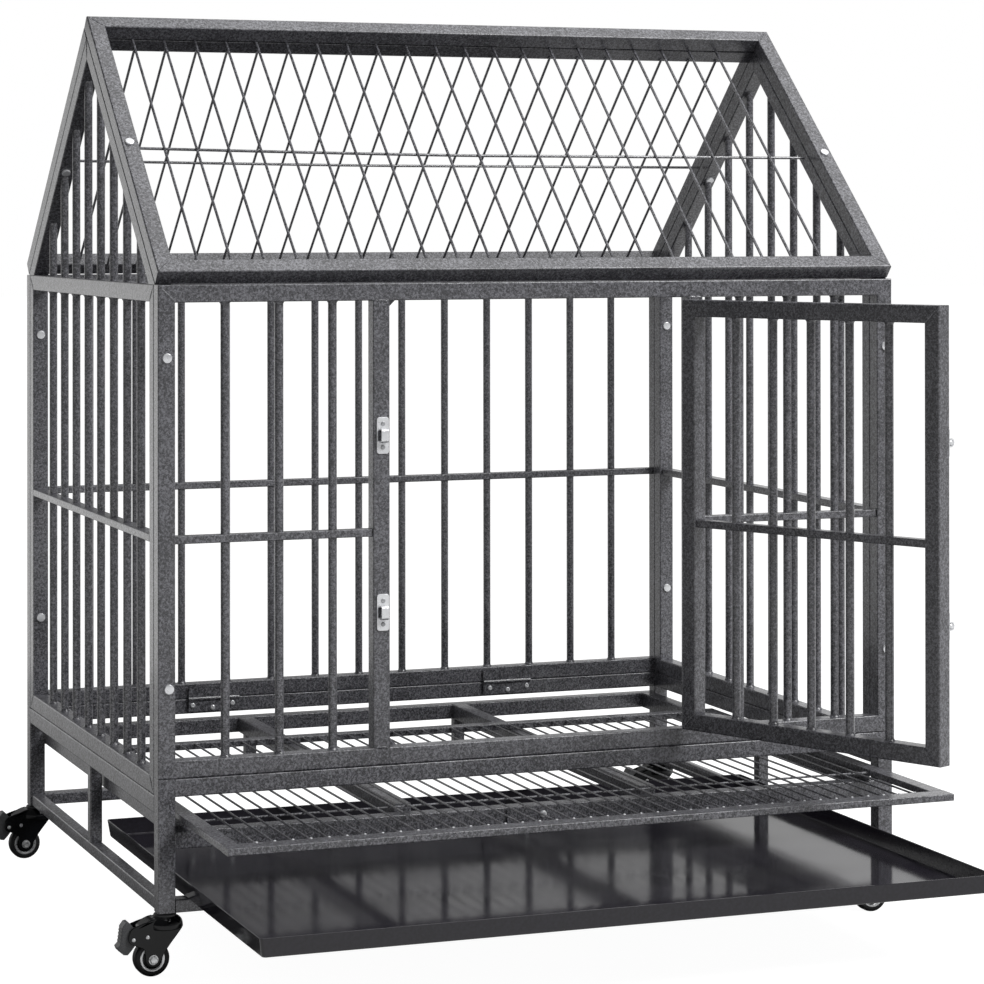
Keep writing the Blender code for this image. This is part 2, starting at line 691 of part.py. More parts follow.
def tray():
    """A folded sheet tray with low walls, open at the top."""
    sheet = TRAY_SHEET
    pan = blocks(((-TRAY_HALF, 0, 0), (TRAY_HALF, TRAY_DEPTH, TRAY_HEIGHT)))
    return cut(pan, blocks(((-TRAY_HALF + sheet, sheet, sheet),
                            (TRAY_HALF - sheet, TRAY_DEPTH - sheet, 2 * TRAY_HEIGHT))))


def turn_catch():
    """A flat bar about its bolt, its back on the local y = 0 plane."""
    hole = CATCH_BOLT_RADIUS + CATCH_BOLT_CLEARANCE
    bar = plate(rounded(CATCH_LENGTH / 2, CATCH_WIDTH / 2, CATCH_WIDTH / 4),
                [arc(0, 0, hole, 0, 360 - 360 / BOLT_SIDES, BOLT_SIDES - 1)], CATCH_THICKNESS)
    return bake(stand(bar), Matrix.Translation((0, -CATCH_THICKNESS / 2, 0)))


def turn_catch_bolt():
    """The catch's shoulder bolt, along local z and pointing out of the crate."""
    head = CATCH_BOLT_HEAD_RADIUS
    seat = CATCH_THICKNESS + 2 * GAP
    top = seat + CATCH_BOLT_HEAD
    return turned([(0, top), (head * HEAD_CROWN, top - CATCH_BOLT_HEAD / 3), (head, seat),
                   (CATCH_BOLT_RADIUS, seat), (CATCH_BOLT_RADIUS, -CATCH_BOLT_DEPTH),
                   (0, -CATCH_BOLT_DEPTH)])


def fold_leaf(way, knuckles):
    """Half of a fold hinge about its barrel axis along x. way is +1 above, -1 below."""
    clear = FOLD_BARREL_RADIUS + FOLD_LEAF / 4
    low, high = -FOLD_LEAF / 2, FOLD_LEAF / 2
    near, far = sorted((way * clear, way * FOLD_LEAF_HEIGHT))
    half = FOLD_HINGE_LENGTH / 2
    leaf = blocks(((-half, low, near), (half, high, far)))
    for left, right in knuckles:
        near, far = sorted((0.0, way * (clear + FOLD_LEAF / 2)))
        weld(leaf, blocks(((left, low + FLUSH_STEP, near), (right, high - FLUSH_STEP, far))))
        weld(leaf, rods([((left, 0, 0), (right, 0, 0))], FOLD_BARREL_RADIUS, ROUND_STEPS))
    return leaf


def caster_stem():
    """Threaded stem, flange and riveted lower pin, below a leg's foot at z = 0."""
    flange = -GAP - STEM_FLANGE
    crown_low = flange - GAP - CROWN_HEIGHT
    rivet_low = crown_low - GAP - STEM_RIVET
    return turned([(0, STEM_LENGTH), (STEM_RADIUS, STEM_LENGTH), (STEM_RADIUS, -GAP),
                   (STEM_FLANGE_RADIUS, -GAP), (STEM_FLANGE_RADIUS, flange),
                   (STEM_RADIUS, flange), (STEM_RADIUS, crown_low - GAP),
                   (STEM_RIVET_RADIUS, crown_low - GAP),
                   (STEM_RIVET_RADIUS * HEAD_CROWN, rivet_low), (0, rivet_low)])


def cheek_outline():
    """Side view of a fork cheek: from under the crown down to the axle and back to the pedal."""
    pin_x, pin_z = -PEDAL_PIN_BACK, -PEDAL_PIN_DROP
    top = -GAP - STEM_FLANGE
    shoulder = [(CROWN_RADIUS * x, top - CROWN_HEIGHT * z) for x, z in CHEEK_SHOULDER]
    ahead = (-TRAIL + CHEEK_LOBE * CHEEK_THROAT_AHEAD, -AXLE_DROP * CHEEK_THROAT_SHARE)
    behind = (-TRAIL - CHEEK_LOBE * CHEEK_THROAT_BEHIND[0],
              -AXLE_DROP + CHEEK_LOBE * CHEEK_THROAT_BEHIND[1])
    under = (pin_x + CHEEK_UNDER_PIN[0], pin_z + CHEEK_UNDER_PIN[1])
    over = [(pin_x + x, pin_z + z) for x, z in CHEEK_OVER_PIN]
    back = (-CROWN_RADIUS * CHEEK_BACK[0], top - CHEEK_BACK[1])
    return (shoulder + [ahead] + arc(-TRAIL, -AXLE_DROP, CHEEK_LOBE, 0, -180, 5)
            + [behind, under] + arc(pin_x, pin_z, CHEEK_HEEL, 270, 180, 2) + over + [back])


def caster_hood(top, width):
    """The sloping sheet between the cheeks, from the crown back to the pedal."""
    start, end = -HOOD_START, -PEDAL_PIN_BACK + HOOD_END_AHEAD
    drop = (start - end) * HOOD_SLOPE
    high, low = top - HOOD_DROP, top - HOOD_DROP - HOOD_SHEET
    outline = [(end, high - drop), (end, low - drop), (start, low), (start, high)]
    return stand(plate(outline, [], width))


def caster_fork():
    """Swivelling crown with two cheeks, the hood between them and the pedal's pin."""
    top = -GAP - STEM_FLANGE - GAP
    low = top - CROWN_HEIGHT
    bore = STEM_RADIUS + GAP
    side = [(CROWN_RADIUS * x, top - CROWN_HEIGHT * z) for x, z in CROWN_SIDE]
    fork = turned([(bore, top)] + side + [(bore, low)], ring=True)
    cheek_y = WHEEL_WIDTH / 2 + CHEEK_CLEARANCE + CHEEK / 2
    for way in (-1, 1):
        cheek = stand(plate(cheek_outline(), [], CHEEK))
        weld(fork, bake(cheek, Matrix.Translation((0, way * cheek_y, 0))))
    weld(fork, caster_hood(top, 2 * cheek_y + CHEEK - 2 * FLUSH_STEP))
    reach = cheek_y + CHEEK
    pins = [((-PEDAL_PIN_BACK, -reach, -PEDAL_PIN_DROP), (-PEDAL_PIN_BACK, reach, -PEDAL_PIN_DROP))]
    weld(fork, rods(pins, PEDAL_PIN_RADIUS, PIN_SIDES))
    hole = AXLE_RADIUS + AXLE_CLEARANCE
    ends = [((-TRAIL, -2 * reach, -AXLE_DROP), (-TRAIL, 2 * reach, -AXLE_DROP))]
    return cut(fork, rods(ends, hole, PIN_SIDES))


def wheel_turn():
    """From a shape turned about z to one about y."""
    return Matrix.Rotation(math.pi / 2, 4, "X")


def caster_tyre():
    half = WHEEL_WIDTH / 2
    inner = HUB_RADIUS + GAP
    edge = TYRE_SHOULDER
    ring = [(inner, half), (WHEEL_RADIUS - edge / 2, half), (WHEEL_RADIUS, half - edge),
            (WHEEL_RADIUS, edge - half), (WHEEL_RADIUS - edge / 2, -half), (inner, -half)]
    return bake(turned(ring, TYRE_STEPS, ring=True), wheel_turn())


def caster_hub():
    half = WHEEL_WIDTH / 2
    bore = AXLE_RADIUS + AXLE_CLEARANCE
    boss = AXLE_HEAD_RADIUS
    rim = HUB_RADIUS - HUB_RIM
    recess = half - HUB_RECESS
    ring = [(bore, half), (boss, half), (boss, recess), (rim, recess), (rim, half),
            (HUB_RADIUS, half), (HUB_RADIUS, -half), (bore, -half)]
    return bake(turned(ring, ROUND_STEPS, ring=True), wheel_turn())


def caster_axle():
    seat = WHEEL_WIDTH / 2 + CHEEK_CLEARANCE + CHEEK + GAP
    end = seat + AXLE_HEAD
    chamfer = AXLE_HEAD_RADIUS * HEAD_CROWN
    profile = [(0, end), (chamfer, end), (AXLE_HEAD_RADIUS, end - AXLE_HEAD / 4),
               (AXLE_HEAD_RADIUS, seat), (AXLE_RADIUS, seat), (AXLE_RADIUS, -seat),
               (AXLE_HEAD_RADIUS, -seat), (AXLE_HEAD_RADIUS, AXLE_HEAD / 4 - end),
               (chamfer, -end), (0, -end)]
    return bake(turned(profile, PIN_SIDES), wheel_turn())


def brake_pedal():
    """The foot pedal about its pin: a boot-shaped plate with a bored heel."""
    pedal = stand(plate(PEDAL_OUTLINE, [], PEDAL_WIDTH))
    bore = PEDAL_PIN_RADIUS + PEDAL_PIN_CLEARANCE
    return cut(pedal, rods([((0, -PEDAL_WIDTH, 0), (0, PEDAL_WIDTH, 0))], bore, PIN_SIDES))


def build_body(root, group):
    node(front_panel(), "front_panel", "hammered_coat", root, group, (0, FRONT + TUBE / 2, 0))
    node(back_panel(), "back_panel", "hammered_coat", root, group, (0, BACK - TUBE / 2, 0))
    for side, way in (("left", -1), ("right", 1)):
        node(side_panel(way), side + "_side_panel", "hammered_coat", root, group,
             (way * POST_X, 0, 0))


def build_roof(root, group):
    """The front roof runs to the ridge, and the back roof butts against its inner face."""
    length = DEPTH / 2 / PITCH_COS
    step = TUBE / math.sin(2 * ROOF_PITCH) + GAP / PITCH_SIN
    front, back = ROOF_WIRE_SHIFTS["front"], ROOF_WIRE_SHIFTS["back"]
    node(roof_panel(length, front), "roof_front_panel", "hammered_coat", root, group,
         (0, FRONT, EAVE_Z), (ROOF_PITCH, 0, 0))
    node(roof_panel(length - step, -back), "roof_back_panel", "hammered_coat", root, group,
         (0, BACK, EAVE_Z), (ROOF_PITCH, 0, math.pi))


def build_base(root, group):
    front = stand(base_end_frame(FRONT_THIRD_RAIL_TOP, -GAP, ()))
    catch_z = FRONT_THIRD_RAIL_TOP - TUBE / 2
    hole = CATCH_BOLT_RADIUS + GAP
    cut(front, rods([((0, -TUBE, catch_z), (0, CATCH_BOLT_DEPTH + GAP - TUBE / 2, catch_z))],
                    hole, BOLT_SIDES))
    node(front, "base_front_frame", "hammered_coat", root, group, (0, FRONT + TUBE / 2, 0))
    back = stand(base_end_frame(GRID_SHELF_TOP, BASE_TOP, (BACK_POST_LEFT, BACK_POST_RIGHT)))
    node(back, "base_back_frame", "hammered_coat", root, group, (0, BACK - TUBE / 2, 0))
    shelf_x = HALF_WIDTH - TUBE * 1.5
    for side, way, cross in (("left", -1, CROSS_BAR_LEFT), ("right", 1, CROSS_BAR_RIGHT)):
        node(base_side_frame(), "base_" + side + "_frame", "hammered_coat", root, group,
             (way * POST_X, 0, 0))
        node(shelf_rail(), side + "_shelf_rail", "hammered_coat", root, group,
             (way * (shelf_x - GAP), 0, 0))
        node(shelf_rail(), side + "_cross_bar", "hammered_coat", root, group, (cross, 0, 0))


def build_fold_hinges(root, group):
    """Hinges between the back panel and the base, still while the sides are bolted on."""
    barrel_y = BACK - TUBE - GAP - FOLD_BARREL_RADIUS
    third = FOLD_HINGE_LENGTH / 3
    half = FOLD_HINGE_LENGTH / 2
    leaf_shift = Matrix.Translation((0, FOLD_BARREL_RADIUS - FOLD_LEAF / 2, 0))
    for side, x in FOLD_HINGE_PLACES.items():
        place = (x, barrel_y, SIDE_SEAM - GAP / 2)
        lower = fold_leaf(-1, [(-half, -third / 2 - GAP), (third / 2 + GAP, half)])
        upper = fold_leaf(1, [(-third / 2, third / 2)])
        node(lower, side + "_fold_hinge_lower", "hammered_coat", root, group, place)
        node(upper, side + "_fold_hinge_upper", "hammered_coat", root, group, place)


def build_door(root, group):
    """The door and its fittings turn with one empty on the hinge axis."""
    bottom = TUBE + DOOR_END_GAP
    axis = empty("door_axis", (HINGE_X, HINGE_Y, 0), root, group)
    node(door_frame(), "door_frame", "hammered_coat", axis, group, (0, 0, bottom))
    knuckle = HINGE_HEIGHT / 3
    for level, middle in HINGE_LEVELS.items():
        low = middle - HINGE_HEIGHT / 2
        post = hinge_leaf(1, HINGE_AXIS_OUT, [(0, knuckle - GAP), (2 * knuckle + GAP, HINGE_HEIGHT)])
        leaf = hinge_leaf(-1, HINGE_AXIS_OUT - DOOR_PROUD, [(knuckle, 2 * knuckle)])
        node(post, level + "_hinge_post_leaf", "black_steel", root, group, (HINGE_X, HINGE_Y, low))
        node(hinge_pin(), level + "_hinge_pin", "black_steel", root, group, (HINGE_X, HINGE_Y, low))
        node(leaf, level + "_hinge_door_leaf", "black_steel", axis, group, (0, 0, low))
    stile_x = -HINGE_AXIS_SIDE - DOOR_WIDTH + TUBE / 2
    face_y = HINGE_AXIS_OUT - DOOR_PROUD
    keeper_x = -OPENING_HALF - KEEPER_PLATE_WIDTH / 2 - LATCH_MARGIN
    for level, z in LATCH_LEVELS.items():
        node(latch_housing(), level + "_latch_housing", "zinc", axis, group, (stile_x, face_y, z))
        node(latch_bolt(), level + "_latch_bolt", "zinc", axis, group,
             (stile_x, face_y - bolt_axis(), z))
        node(keeper(), level + "_keeper", "zinc", root, group, (keeper_x, FRONT, z))
    axis.rotation_euler = (0, 0, DOOR_OPEN_ANGLE)


def build_pull_outs(root, group):
    grid_z = GRID_SHELF_TOP + GAP
    tray_z = LEG_FOOT + THIN_TUBE + GAP
    node(floor_grid(), "floor_grid", "hammered_coat", root, group, (0, FRONT - GRID_PULL, grid_z))
    node(tray(), "tray", "tray_enamel", root, group, (0, FRONT - TRAY_PULL, tray_z))
    catch_z = FRONT_THIRD_RAIL_TOP - TUBE / 2
    node(turn_catch(), "turn_catch", "hammered_coat", root, group, (0, FRONT - GAP, catch_z))
    node(turn_catch_bolt(), "turn_catch_bolt", "zinc", root, group, (0, FRONT, catch_z),
         (math.pi / 2, 0, 0))


def build_casters(root, group):
    for end, y in (("front", FRONT + TUBE / 2), ("back", BACK - TUBE / 2)):
        for side, x in (("left", -POST_X), ("right", POST_X)):
            name = "caster_" + end + "_" + side + "_"
            swivel = empty(name + "swivel_axis", (x, y, LEG_FOOT), root, group)
            axle = empty(name + "wheel_axis", (-TRAIL, 0, -AXLE_DROP), swivel, group)
            heel = empty(name + "pedal_axis", (-PEDAL_PIN_BACK, 0, -PEDAL_PIN_DROP), swivel, group)
            node(caster_stem(), name + "stem", "black_steel", swivel, group)
            node(caster_fork(), name + "fork", "black_nylon", swivel, group)
            node(caster_axle(), name + "axle", "zinc", axle, group)
            node(caster_tyre(), name + "tyre", "tyre_rubber", axle, group)
            node(caster_hub(), name + "hub", "black_nylon", axle, group)
            node(brake_pedal(), name + "pedal", "grey_nylon", heel, group)


def stand_on_origin(root, group):
    """Move the crate so that it stands on z = 0 with its box centred on the origin."""
    bpy.context.view_layer.update()
    corners = [obj.matrix_world @ vertex.co for obj in group.objects if obj.type == "MESH"
               for vertex in obj.data.vertices]
    low = [min(corner[axis] for corner in corners) for axis in range(3)]
    high = [max(corner[axis] for corner in corners) for axis in range(3)]
    root.location = (-(low[0] + high[0]) / 2, -(low[1] + high[1]) / 2, -low[2])
    bpy.context.view_layer.update()


def main():
    for obj in list(bpy.data.objects):
        bpy.data.objects.remove(obj)
    group = collection("dog_crate")
    root = empty("crate", (0, 0, 0), None, group)
    build_body(root, group)
    build_roof(root, group)
    build_base(root, group)
    build_fold_hinges(root, group)
    build_door(root, group)
    build_pull_outs(root, group)
    build_casters(root, group)
    stand_on_origin(root, group)


main()
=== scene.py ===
"""Dog crate of square steel tube on casters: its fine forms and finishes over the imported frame.

All shapes are worked out in the crate's own frame, in metres: x along the front, y to the
back, z up, with zero in the middle of the body at the lower edge of the front panel. A form
is a pair: an array of points and a list of face arrays. build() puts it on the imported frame.
"""
import math

import bpy
import numpy as np
from mathutils import Matrix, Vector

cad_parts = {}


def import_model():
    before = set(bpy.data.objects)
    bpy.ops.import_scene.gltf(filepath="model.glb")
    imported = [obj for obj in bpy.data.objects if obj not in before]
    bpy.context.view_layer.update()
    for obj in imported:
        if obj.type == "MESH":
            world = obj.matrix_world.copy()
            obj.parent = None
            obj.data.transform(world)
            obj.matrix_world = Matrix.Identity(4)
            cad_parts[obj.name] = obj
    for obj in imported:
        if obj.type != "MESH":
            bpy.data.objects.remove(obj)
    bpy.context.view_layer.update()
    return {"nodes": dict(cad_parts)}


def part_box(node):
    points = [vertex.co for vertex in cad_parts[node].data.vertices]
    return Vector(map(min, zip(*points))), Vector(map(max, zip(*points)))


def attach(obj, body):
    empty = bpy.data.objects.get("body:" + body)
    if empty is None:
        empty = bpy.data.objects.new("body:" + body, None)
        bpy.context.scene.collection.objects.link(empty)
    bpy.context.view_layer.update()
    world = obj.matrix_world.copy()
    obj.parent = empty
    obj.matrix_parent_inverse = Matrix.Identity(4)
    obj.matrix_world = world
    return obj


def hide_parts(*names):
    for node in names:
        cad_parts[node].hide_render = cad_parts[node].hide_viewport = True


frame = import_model()

# Whole crate
WIDTH, DEPTH, BODY_HEIGHT = 0.920, 0.695, 0.552
ROOF_PITCH = math.radians(41.46)
LEG_DROP = 0.1495
GAP = 0.0003
TUBE, THIN_TUBE = 0.020, 0.015
TUBE_CORNER = 0.0017
SEAM = 0.0003
BAR_RADIUS = 0.005
MID_RAIL_HEIGHT, MID_RAIL_DEPTH, MID_RAIL_LEVEL = 0.009, 0.014, 0.482 * BODY_HEIGHT
FRONT_BAR_STEPS = 0.0635 * np.arange(3)
FRONT_LEFT_MARGIN, FRONT_RIGHT_MARGIN = 0.060, 0.0535
BACK_BARS = 13
SIDE_BARS = 0.066 * (np.arange(8) - 3.5)

# Roof wires: how far they reach over the eave and ridge tubes, where each panel's stand from its
# middle, and its cross wire's bend and distance from the tubes
WIRE_RADIUS = 0.0017
EAVE_LAP, RIDGE_LAP, CROSS_WIRE_MARGIN = 0.010, 0.005, 0.004
ROOF_WIRE_PITCH, ROOF_WIRES = 0.0394, 21
FRONT_ROOF_SHIFT, FRONT_ROOF_BEND = -0.0085, 0.0095
BACK_ROOF_SHIFT, BACK_ROOF_BEND = 0.003, -0.006

# Base: rail levels, posts, shelf tubes and the turn catch
FRONT_THIRD_RAIL_TOP, SHELF_TOP = -0.0585, -0.049
BACK_POSTS = (-0.156, 0.145)
CROSS_BARS = {"left": -0.165, "right": 0.143}
CATCH_LEVEL = -0.0685
CATCH_HALF, CATCH_HALF_HEIGHT, CATCH_CORNER, CATCH_PLATE = 0.045, 0.010, 0.005, 0.003

# Assembly bolts: their places on the front, their levels behind, and up the roof's slope
FRONT_BOLTS = ((-0.4496, 0.470), (-0.4476, 0.1005), (0.4510, 0.470), (0.4520, 0.1006))
BACK_BOLT_LEVELS, SEAM_BOLT_LEVELS = (0.470, 0.1005), (0.4735, 0.1015)
ROOF_BOLT_SETBACK, ROOF_BOLT_UP = 0.0008, (0.2235, 0.214)
FOLD_HINGE_SCREWS = ((-0.2396, -0.0287), (-0.2119, -0.0325), (-0.1843, -0.028),
                     (0.1875, -0.0285), (0.2138, -0.032), (0.2422, -0.028))

HALF_WIDTH = WIDTH / 2
FRONT, BACK = -DEPTH / 2, DEPTH / 2
POST_X = HALF_WIDTH - TUBE / 2
SIDE_REACH = DEPTH / 2 - TUBE - GAP
SIDE_SEAM = -TUBE
BASE_TOP = SIDE_SEAM - GAP
LEG_FOOT = -LEG_DROP
PITCH_SIN, PITCH_COS, PITCH_TAN = math.sin(ROOF_PITCH), math.cos(ROOF_PITCH), math.tan(ROOF_PITCH)
EAVE_Z = BODY_HEIGHT + GAP + TUBE * PITCH_COS
RIDGE_Z = EAVE_Z + DEPTH / 2 * PITCH_TAN
GABLE_APEX_Z = RIDGE_Z - (TUBE + GAP) / PITCH_COS

# Door, its hinges and its slide bolts
OPENING_HALF = 0.187
DOOR_LATCH_GAP, DOOR_HINGE_GAP, DOOR_END_GAP, DOOR_PROUD = 0.0025, 0.0015, 0.0022, 0.0006
DOOR_WIDTH = 2 * OPENING_HALF - DOOR_LATCH_GAP - DOOR_HINGE_GAP
DOOR_HEIGHT = BODY_HEIGHT - 2 * TUBE - 2 * DOOR_END_GAP
DOOR_BARS = 5
DOOR_OPEN_ANGLE = math.radians(115.5)
HINGE_OUT = 0.0045
HINGE_PLACE = (OPENING_HALF - DOOR_HINGE_GAP + HINGE_OUT, FRONT - HINGE_OUT, 0.0)
LATCH_LEVELS = {"lower": 0.175, "upper": 0.3775}
BOLT_RADIUS = 0.003
BOLT_AXIS = 0.0051
LATCH_WIDTH, LATCH_HEIGHT, LATCH_PLATE = 0.018, 0.033, 0.0015
HOUSING_WALL, SLEEVE_SLOT = 0.0016, 0.75
LATCH_SCREWS = [(x, z) for x in (-0.005, 0.005) for z in (-0.0125, 0.0125)]
KEEPER_X = -OPENING_HALF - 0.009
KEEPER_HALF, KEEPER_REACH, KEEPER_CORNER = 0.0074, 0.0204, 0.0026
KEEPER_SCREW_REACH = 0.0134
STRAP_OUT, STRAP_HALF_HEIGHT, STRAP_BEND = 0.0095, 0.0072, 0.0024

# Grid and tray
GRID_HALF, GRID_DEPTH, GRID_HEIGHT, GRID_PULL = 0.435, 0.665, 0.008, 0.197
GRID_RAIL, GRID_EDGE, GRID_WIRES, GRID_CROSSES = 0.025, 0.018, 40, 3
GRID_WIRE_RADIUS, GRID_WIRE_SET, GRID_WELD_LAP = 0.00125, 0.0008, 0.0005
GRID_CORNER = 0.0010
GRID_LEVEL = SHELF_TOP + GAP
TRAY_HALF, TRAY_DEPTH, TRAY_PULL = 0.430, 0.670, 0.300
TRAY_LEVEL = LEG_FOOT + THIN_TUBE + GAP

# Casters, from the swivel axis at the leg's foot
WHEEL_RADIUS, WHEEL_HALF = 0.020, 0.0085
TRAIL, AXLE_DROP = 0.016, 0.0495
CROWN_RADIUS, CROWN_TOP, CROWN_LOW = 0.020, -0.0033, -0.0170
CHEEK, CHEEK_Y = 0.0025, 0.01055
AXLE_EYE, PIN_EYE = 0.0091, 0.006
PIN_BACK, PIN_DROP = 0.0384, 0.026
STAY_PLACE = (-0.0223, -0.0243)

# Studio floor, from the origin: where it starts to show white in reflections and where it is
# fully white, in front, to both sides and behind, and how bright it is at the left and right. In
# reflections this glow is painted light, and FLOOR_SHADE is its painted shadow near the crate
FLOOR_AHEAD, FLOOR_SIDE, FLOOR_BEHIND = (-0.18, -0.26), (0.5, 0.66), (0.8, 2.6)
FLOOR_SPAN, FLOOR_LEVELS, FLOOR_SHADE = (-0.8, 0.8), (0.38, 0.95), 0.03
FLOOR_GLOW = 0.965

# Backdrop, by direction: dim in front, and from the left's level to white at the right
BACKDROP_DIM, BACKDROP_LEFT, BACKDROP_EDGE = 0.13, 0.26, (0.27, 0.47)

# Soft lamps: place, target, size in metres and power in watts
SOFTBOXES = {"top_softbox": ((0.7, -0.2, 3.2), (0, 0, 0.5), 2.2, 26),
             "front_softbox": ((2.75, -3.7, 4.5), (0, 0, 0.5), 2.4, 272),
             "left_softbox": ((-1.25, 1.9, 0.6), (-0.4, 0, 0.5), 1.2, 3.2)}

# Camera: place in metres, heading, tilt and roll in degrees, lens in millimetres and shift
EYE = (-1.29396, -3.49105, 0.84293)
EYE_TURNS = (-20.647, 90.235, -0.059)
LENS = 111.624
SHIFT = (0.00154, -0.28899)

# Edges whose faces meet at more than this angle stay sharp
SHARP_ANGLE = math.radians(35)

# Turns that stand a form's local z up along -y, along +y, or its local x along the side
STAND = np.array(((1, 0, 0), (0, 0, -1), (0, 1, 0)), float)
FACING_BACK = np.array(((-1, 0, 0), (0, 0, 1), (0, 1, 0)), float)
SIDEWAYS = np.array(((0, 0, 1), (1, 0, 0), (0, 1, 0)), float)


# Forms

def about(axis, angle):
    """Rotation by an angle about x, y or z, as a 3 by 3 array."""
    c, s = math.cos(angle), math.sin(angle)
    i, j = ((1, 2), (2, 0), (0, 1))["xyz".index(axis)]
    turn = np.eye(3)
    turn[i, i], turn[i, j], turn[j, i], turn[j, j] = c, -s, s, c
    return turn


def placed(form, turn=np.eye(3), place=(0, 0, 0)):
    """Every point p becomes turn p + place."""
    return form[0] @ np.asarray(turn).T + np.asarray(place, float), form[1]


def joined(forms):
    """Several forms as one, with the faces of each numbered on from the points before it."""
    starts = np.cumsum([0] + [len(form[0]) for form in forms[:-1]])
    faces = [face + start for form, start in zip(forms, starts) for face in form[1]]
    return np.vstack([form[0] for form in forms]), faces


def lattice(rows, ring=True, loop=False, caps=False):
    """Quads between neighbours in a grid of points [row, column]. ring joins the columns' ends,
    loop joins the last row to the first, and caps closes the first and last rows."""
    count, across = rows.shape[:2]
    i, j = np.meshgrid(np.arange(count - (not loop)), np.arange(across - (not ring)), indexing="ij")
    up, on = (i + 1) % count, (j + 1) % across
    quads = np.stack((i * across + j, i * across + on, up * across + on, up * across + j), -1)
    faces = [quads.reshape(-1, 4)]
    if caps:
        first = np.arange(across)
        faces += [first[None, ::-1], first[None, :] + (count - 1) * across]
    return rows.reshape(-1, 3), faces


def rounded(half_x, half_y, radius, steps=4):
    """Outline of a rectangle with round corners: each corner's centre plus radius (cos a, sin a)."""
    quarter = np.linspace(0, math.pi / 2, steps + 1)
    angle = (quarter[None, :] + np.arange(4)[:, None] * math.pi / 2).ravel()
    sign = np.repeat(np.array(((1, 1), (-1, 1), (-1, -1), (1, -1)), float), steps + 1, axis=0)
    centre = sign * (half_x - radius, half_y - radius)
    return centre + radius * np.stack((np.cos(angle), np.sin(angle)), -1)


def circle(radius, steps):
    angle = np.arange(steps) * 2 * math.pi / steps
    return radius * np.stack((np.cos(angle), np.sin(angle)), -1)


def softened(outline, rounds=2):
    """Corner cutting: each edge from p to q gives the points 3/4 p + 1/4 q and 1/4 p + 3/4 q."""
    points = np.asarray(outline, float)
    for _ in range(rounds):
        after = np.roll(points, -1, axis=0)
        points = np.stack((0.75 * points + 0.25 * after, 0.25 * points + 0.75 * after), 1)
        points = points.reshape(-1, 2)
    return points


def inset(outline, depth):
    """Each corner moved in along its bisector, so that every edge moves in by depth."""
    edge = np.roll(outline, -1, axis=0) - outline
    normal = np.stack((edge[:, 1], -edge[:, 0]), -1) / np.linalg.norm(edge, axis=1)[:, None]
    before = np.roll(normal, 1, axis=0)
    lean = (before + normal) / (1 + np.sum(before * normal, axis=1))[:, None]
    return outline - lean * depth


def slab(outline, thickness, edge, steps=3):
    """A plate with rounded rims: over a quarter circle a, the outline moves in by edge (1 - sin a)
    while z goes in from the face by edge (1 - cos a)."""
    outline = np.asarray(outline, float)
    quarter = np.linspace(0, math.pi / 2, steps + 1)
    depths = np.concatenate((edge * (1 - np.sin(quarter)), edge * (1 - np.sin(quarter[::-1]))))
    rise = edge * (1 - np.cos(quarter)) - thickness / 2
    levels = np.concatenate((rise, -rise[::-1]))
    rows = [np.column_stack((inset(outline, d), np.full(len(outline), z)))
            for d, z in zip(depths, levels)]
    return lattice(np.array(rows), caps=True)


def turned(profile, steps=24, loop=False):
    """A profile of (radius, height) turned about z: (r cos a, r sin a, h). It runs up its outer
    side, and a radius of 0 at either end closes it to one point."""
    profile = np.asarray(profile, float)
    rim = profile[profile[:, 0] > 0]
    angle = np.arange(steps) * 2 * math.pi / steps
    rows = np.empty((len(rim), steps, 3))
    rows[..., 0] = rim[:, :1] * np.cos(angle)
    rows[..., 1] = rim[:, :1] * np.sin(angle)
    rows[..., 2] = rim[:, 1:]
    points, faces = lattice(rows, loop=loop)
    j = np.arange(steps)
    on = (j + 1) % steps
    for end, first, second in ((0, on, j), (-1, j, on)):
        if profile[end, 0] == 0:
            start = 0 if end == 0 else (len(rim) - 1) * steps
            pole = np.full(steps, len(points))
            points = np.vstack((points, (0, 0, profile[end, 1])))
            faces.append(np.stack((pole, first + start, second + start), -1))
    return points, faces


def carried(section, path, side, growth=None, loop=False):
    """A section carried along a path: point + growth (u side + v (tangent x side)), with side
    made square to the path's tangent at each point."""
    path = np.asarray(path, float)
    around = np.roll(path, -1, axis=0) - np.roll(path, 1, axis=0)
    tangent = around if loop else np.gradient(path, axis=0)
    tangent /= np.linalg.norm(tangent, axis=1)[:, None]
    across = np.asarray(side, float) - np.sum(tangent * side, axis=1)[:, None] * tangent
    across /= np.linalg.norm(across, axis=1)[:, None]
    other = np.cross(tangent, across)
    size = np.ones(len(path)) if growth is None else np.asarray(growth)
    u, v = np.asarray(section).T
    rows = path[:, None, :] + size[:, None, None] * (
        across[:, None, :] * u[None, :, None] + other[:, None, :] * v[None, :, None])
    return lattice(rows, loop=loop, caps=not loop)


def tube(start, end, side, size=(TUBE, TUBE), start_cut=0.0, end_cut=0.0, corner=TUBE_CORNER):
    """Square tube: a rounded rectangle from start to end. Each end leans along the run by its cut
    times the distance u along side, and is chamfered by SEAM, which shows as the joint's line."""
    start, end, side = (np.asarray(value, float) for value in (start, end, side))
    run = (end - start) / np.linalg.norm(end - start)
    side = side / np.linalg.norm(side)
    other = np.cross(run, side)
    ring = rounded(size[0] / 2, size[1] / 2, corner)
    ends = ((start, start_cut, 1 - 2 * SEAM / size[0], 0), (start, start_cut, 1, SEAM),
            (end, end_cut, 1, -SEAM), (end, end_cut, 1 - 2 * SEAM / size[0], 0))
    rows = []
    for base, cut, scale, shift in ends:
        u, v = (ring * scale).T[:, :, None]
        rows.append(base + run * (shift + cut * u) + side * u + other * v)
    return lattice(np.array(rows), caps=True)


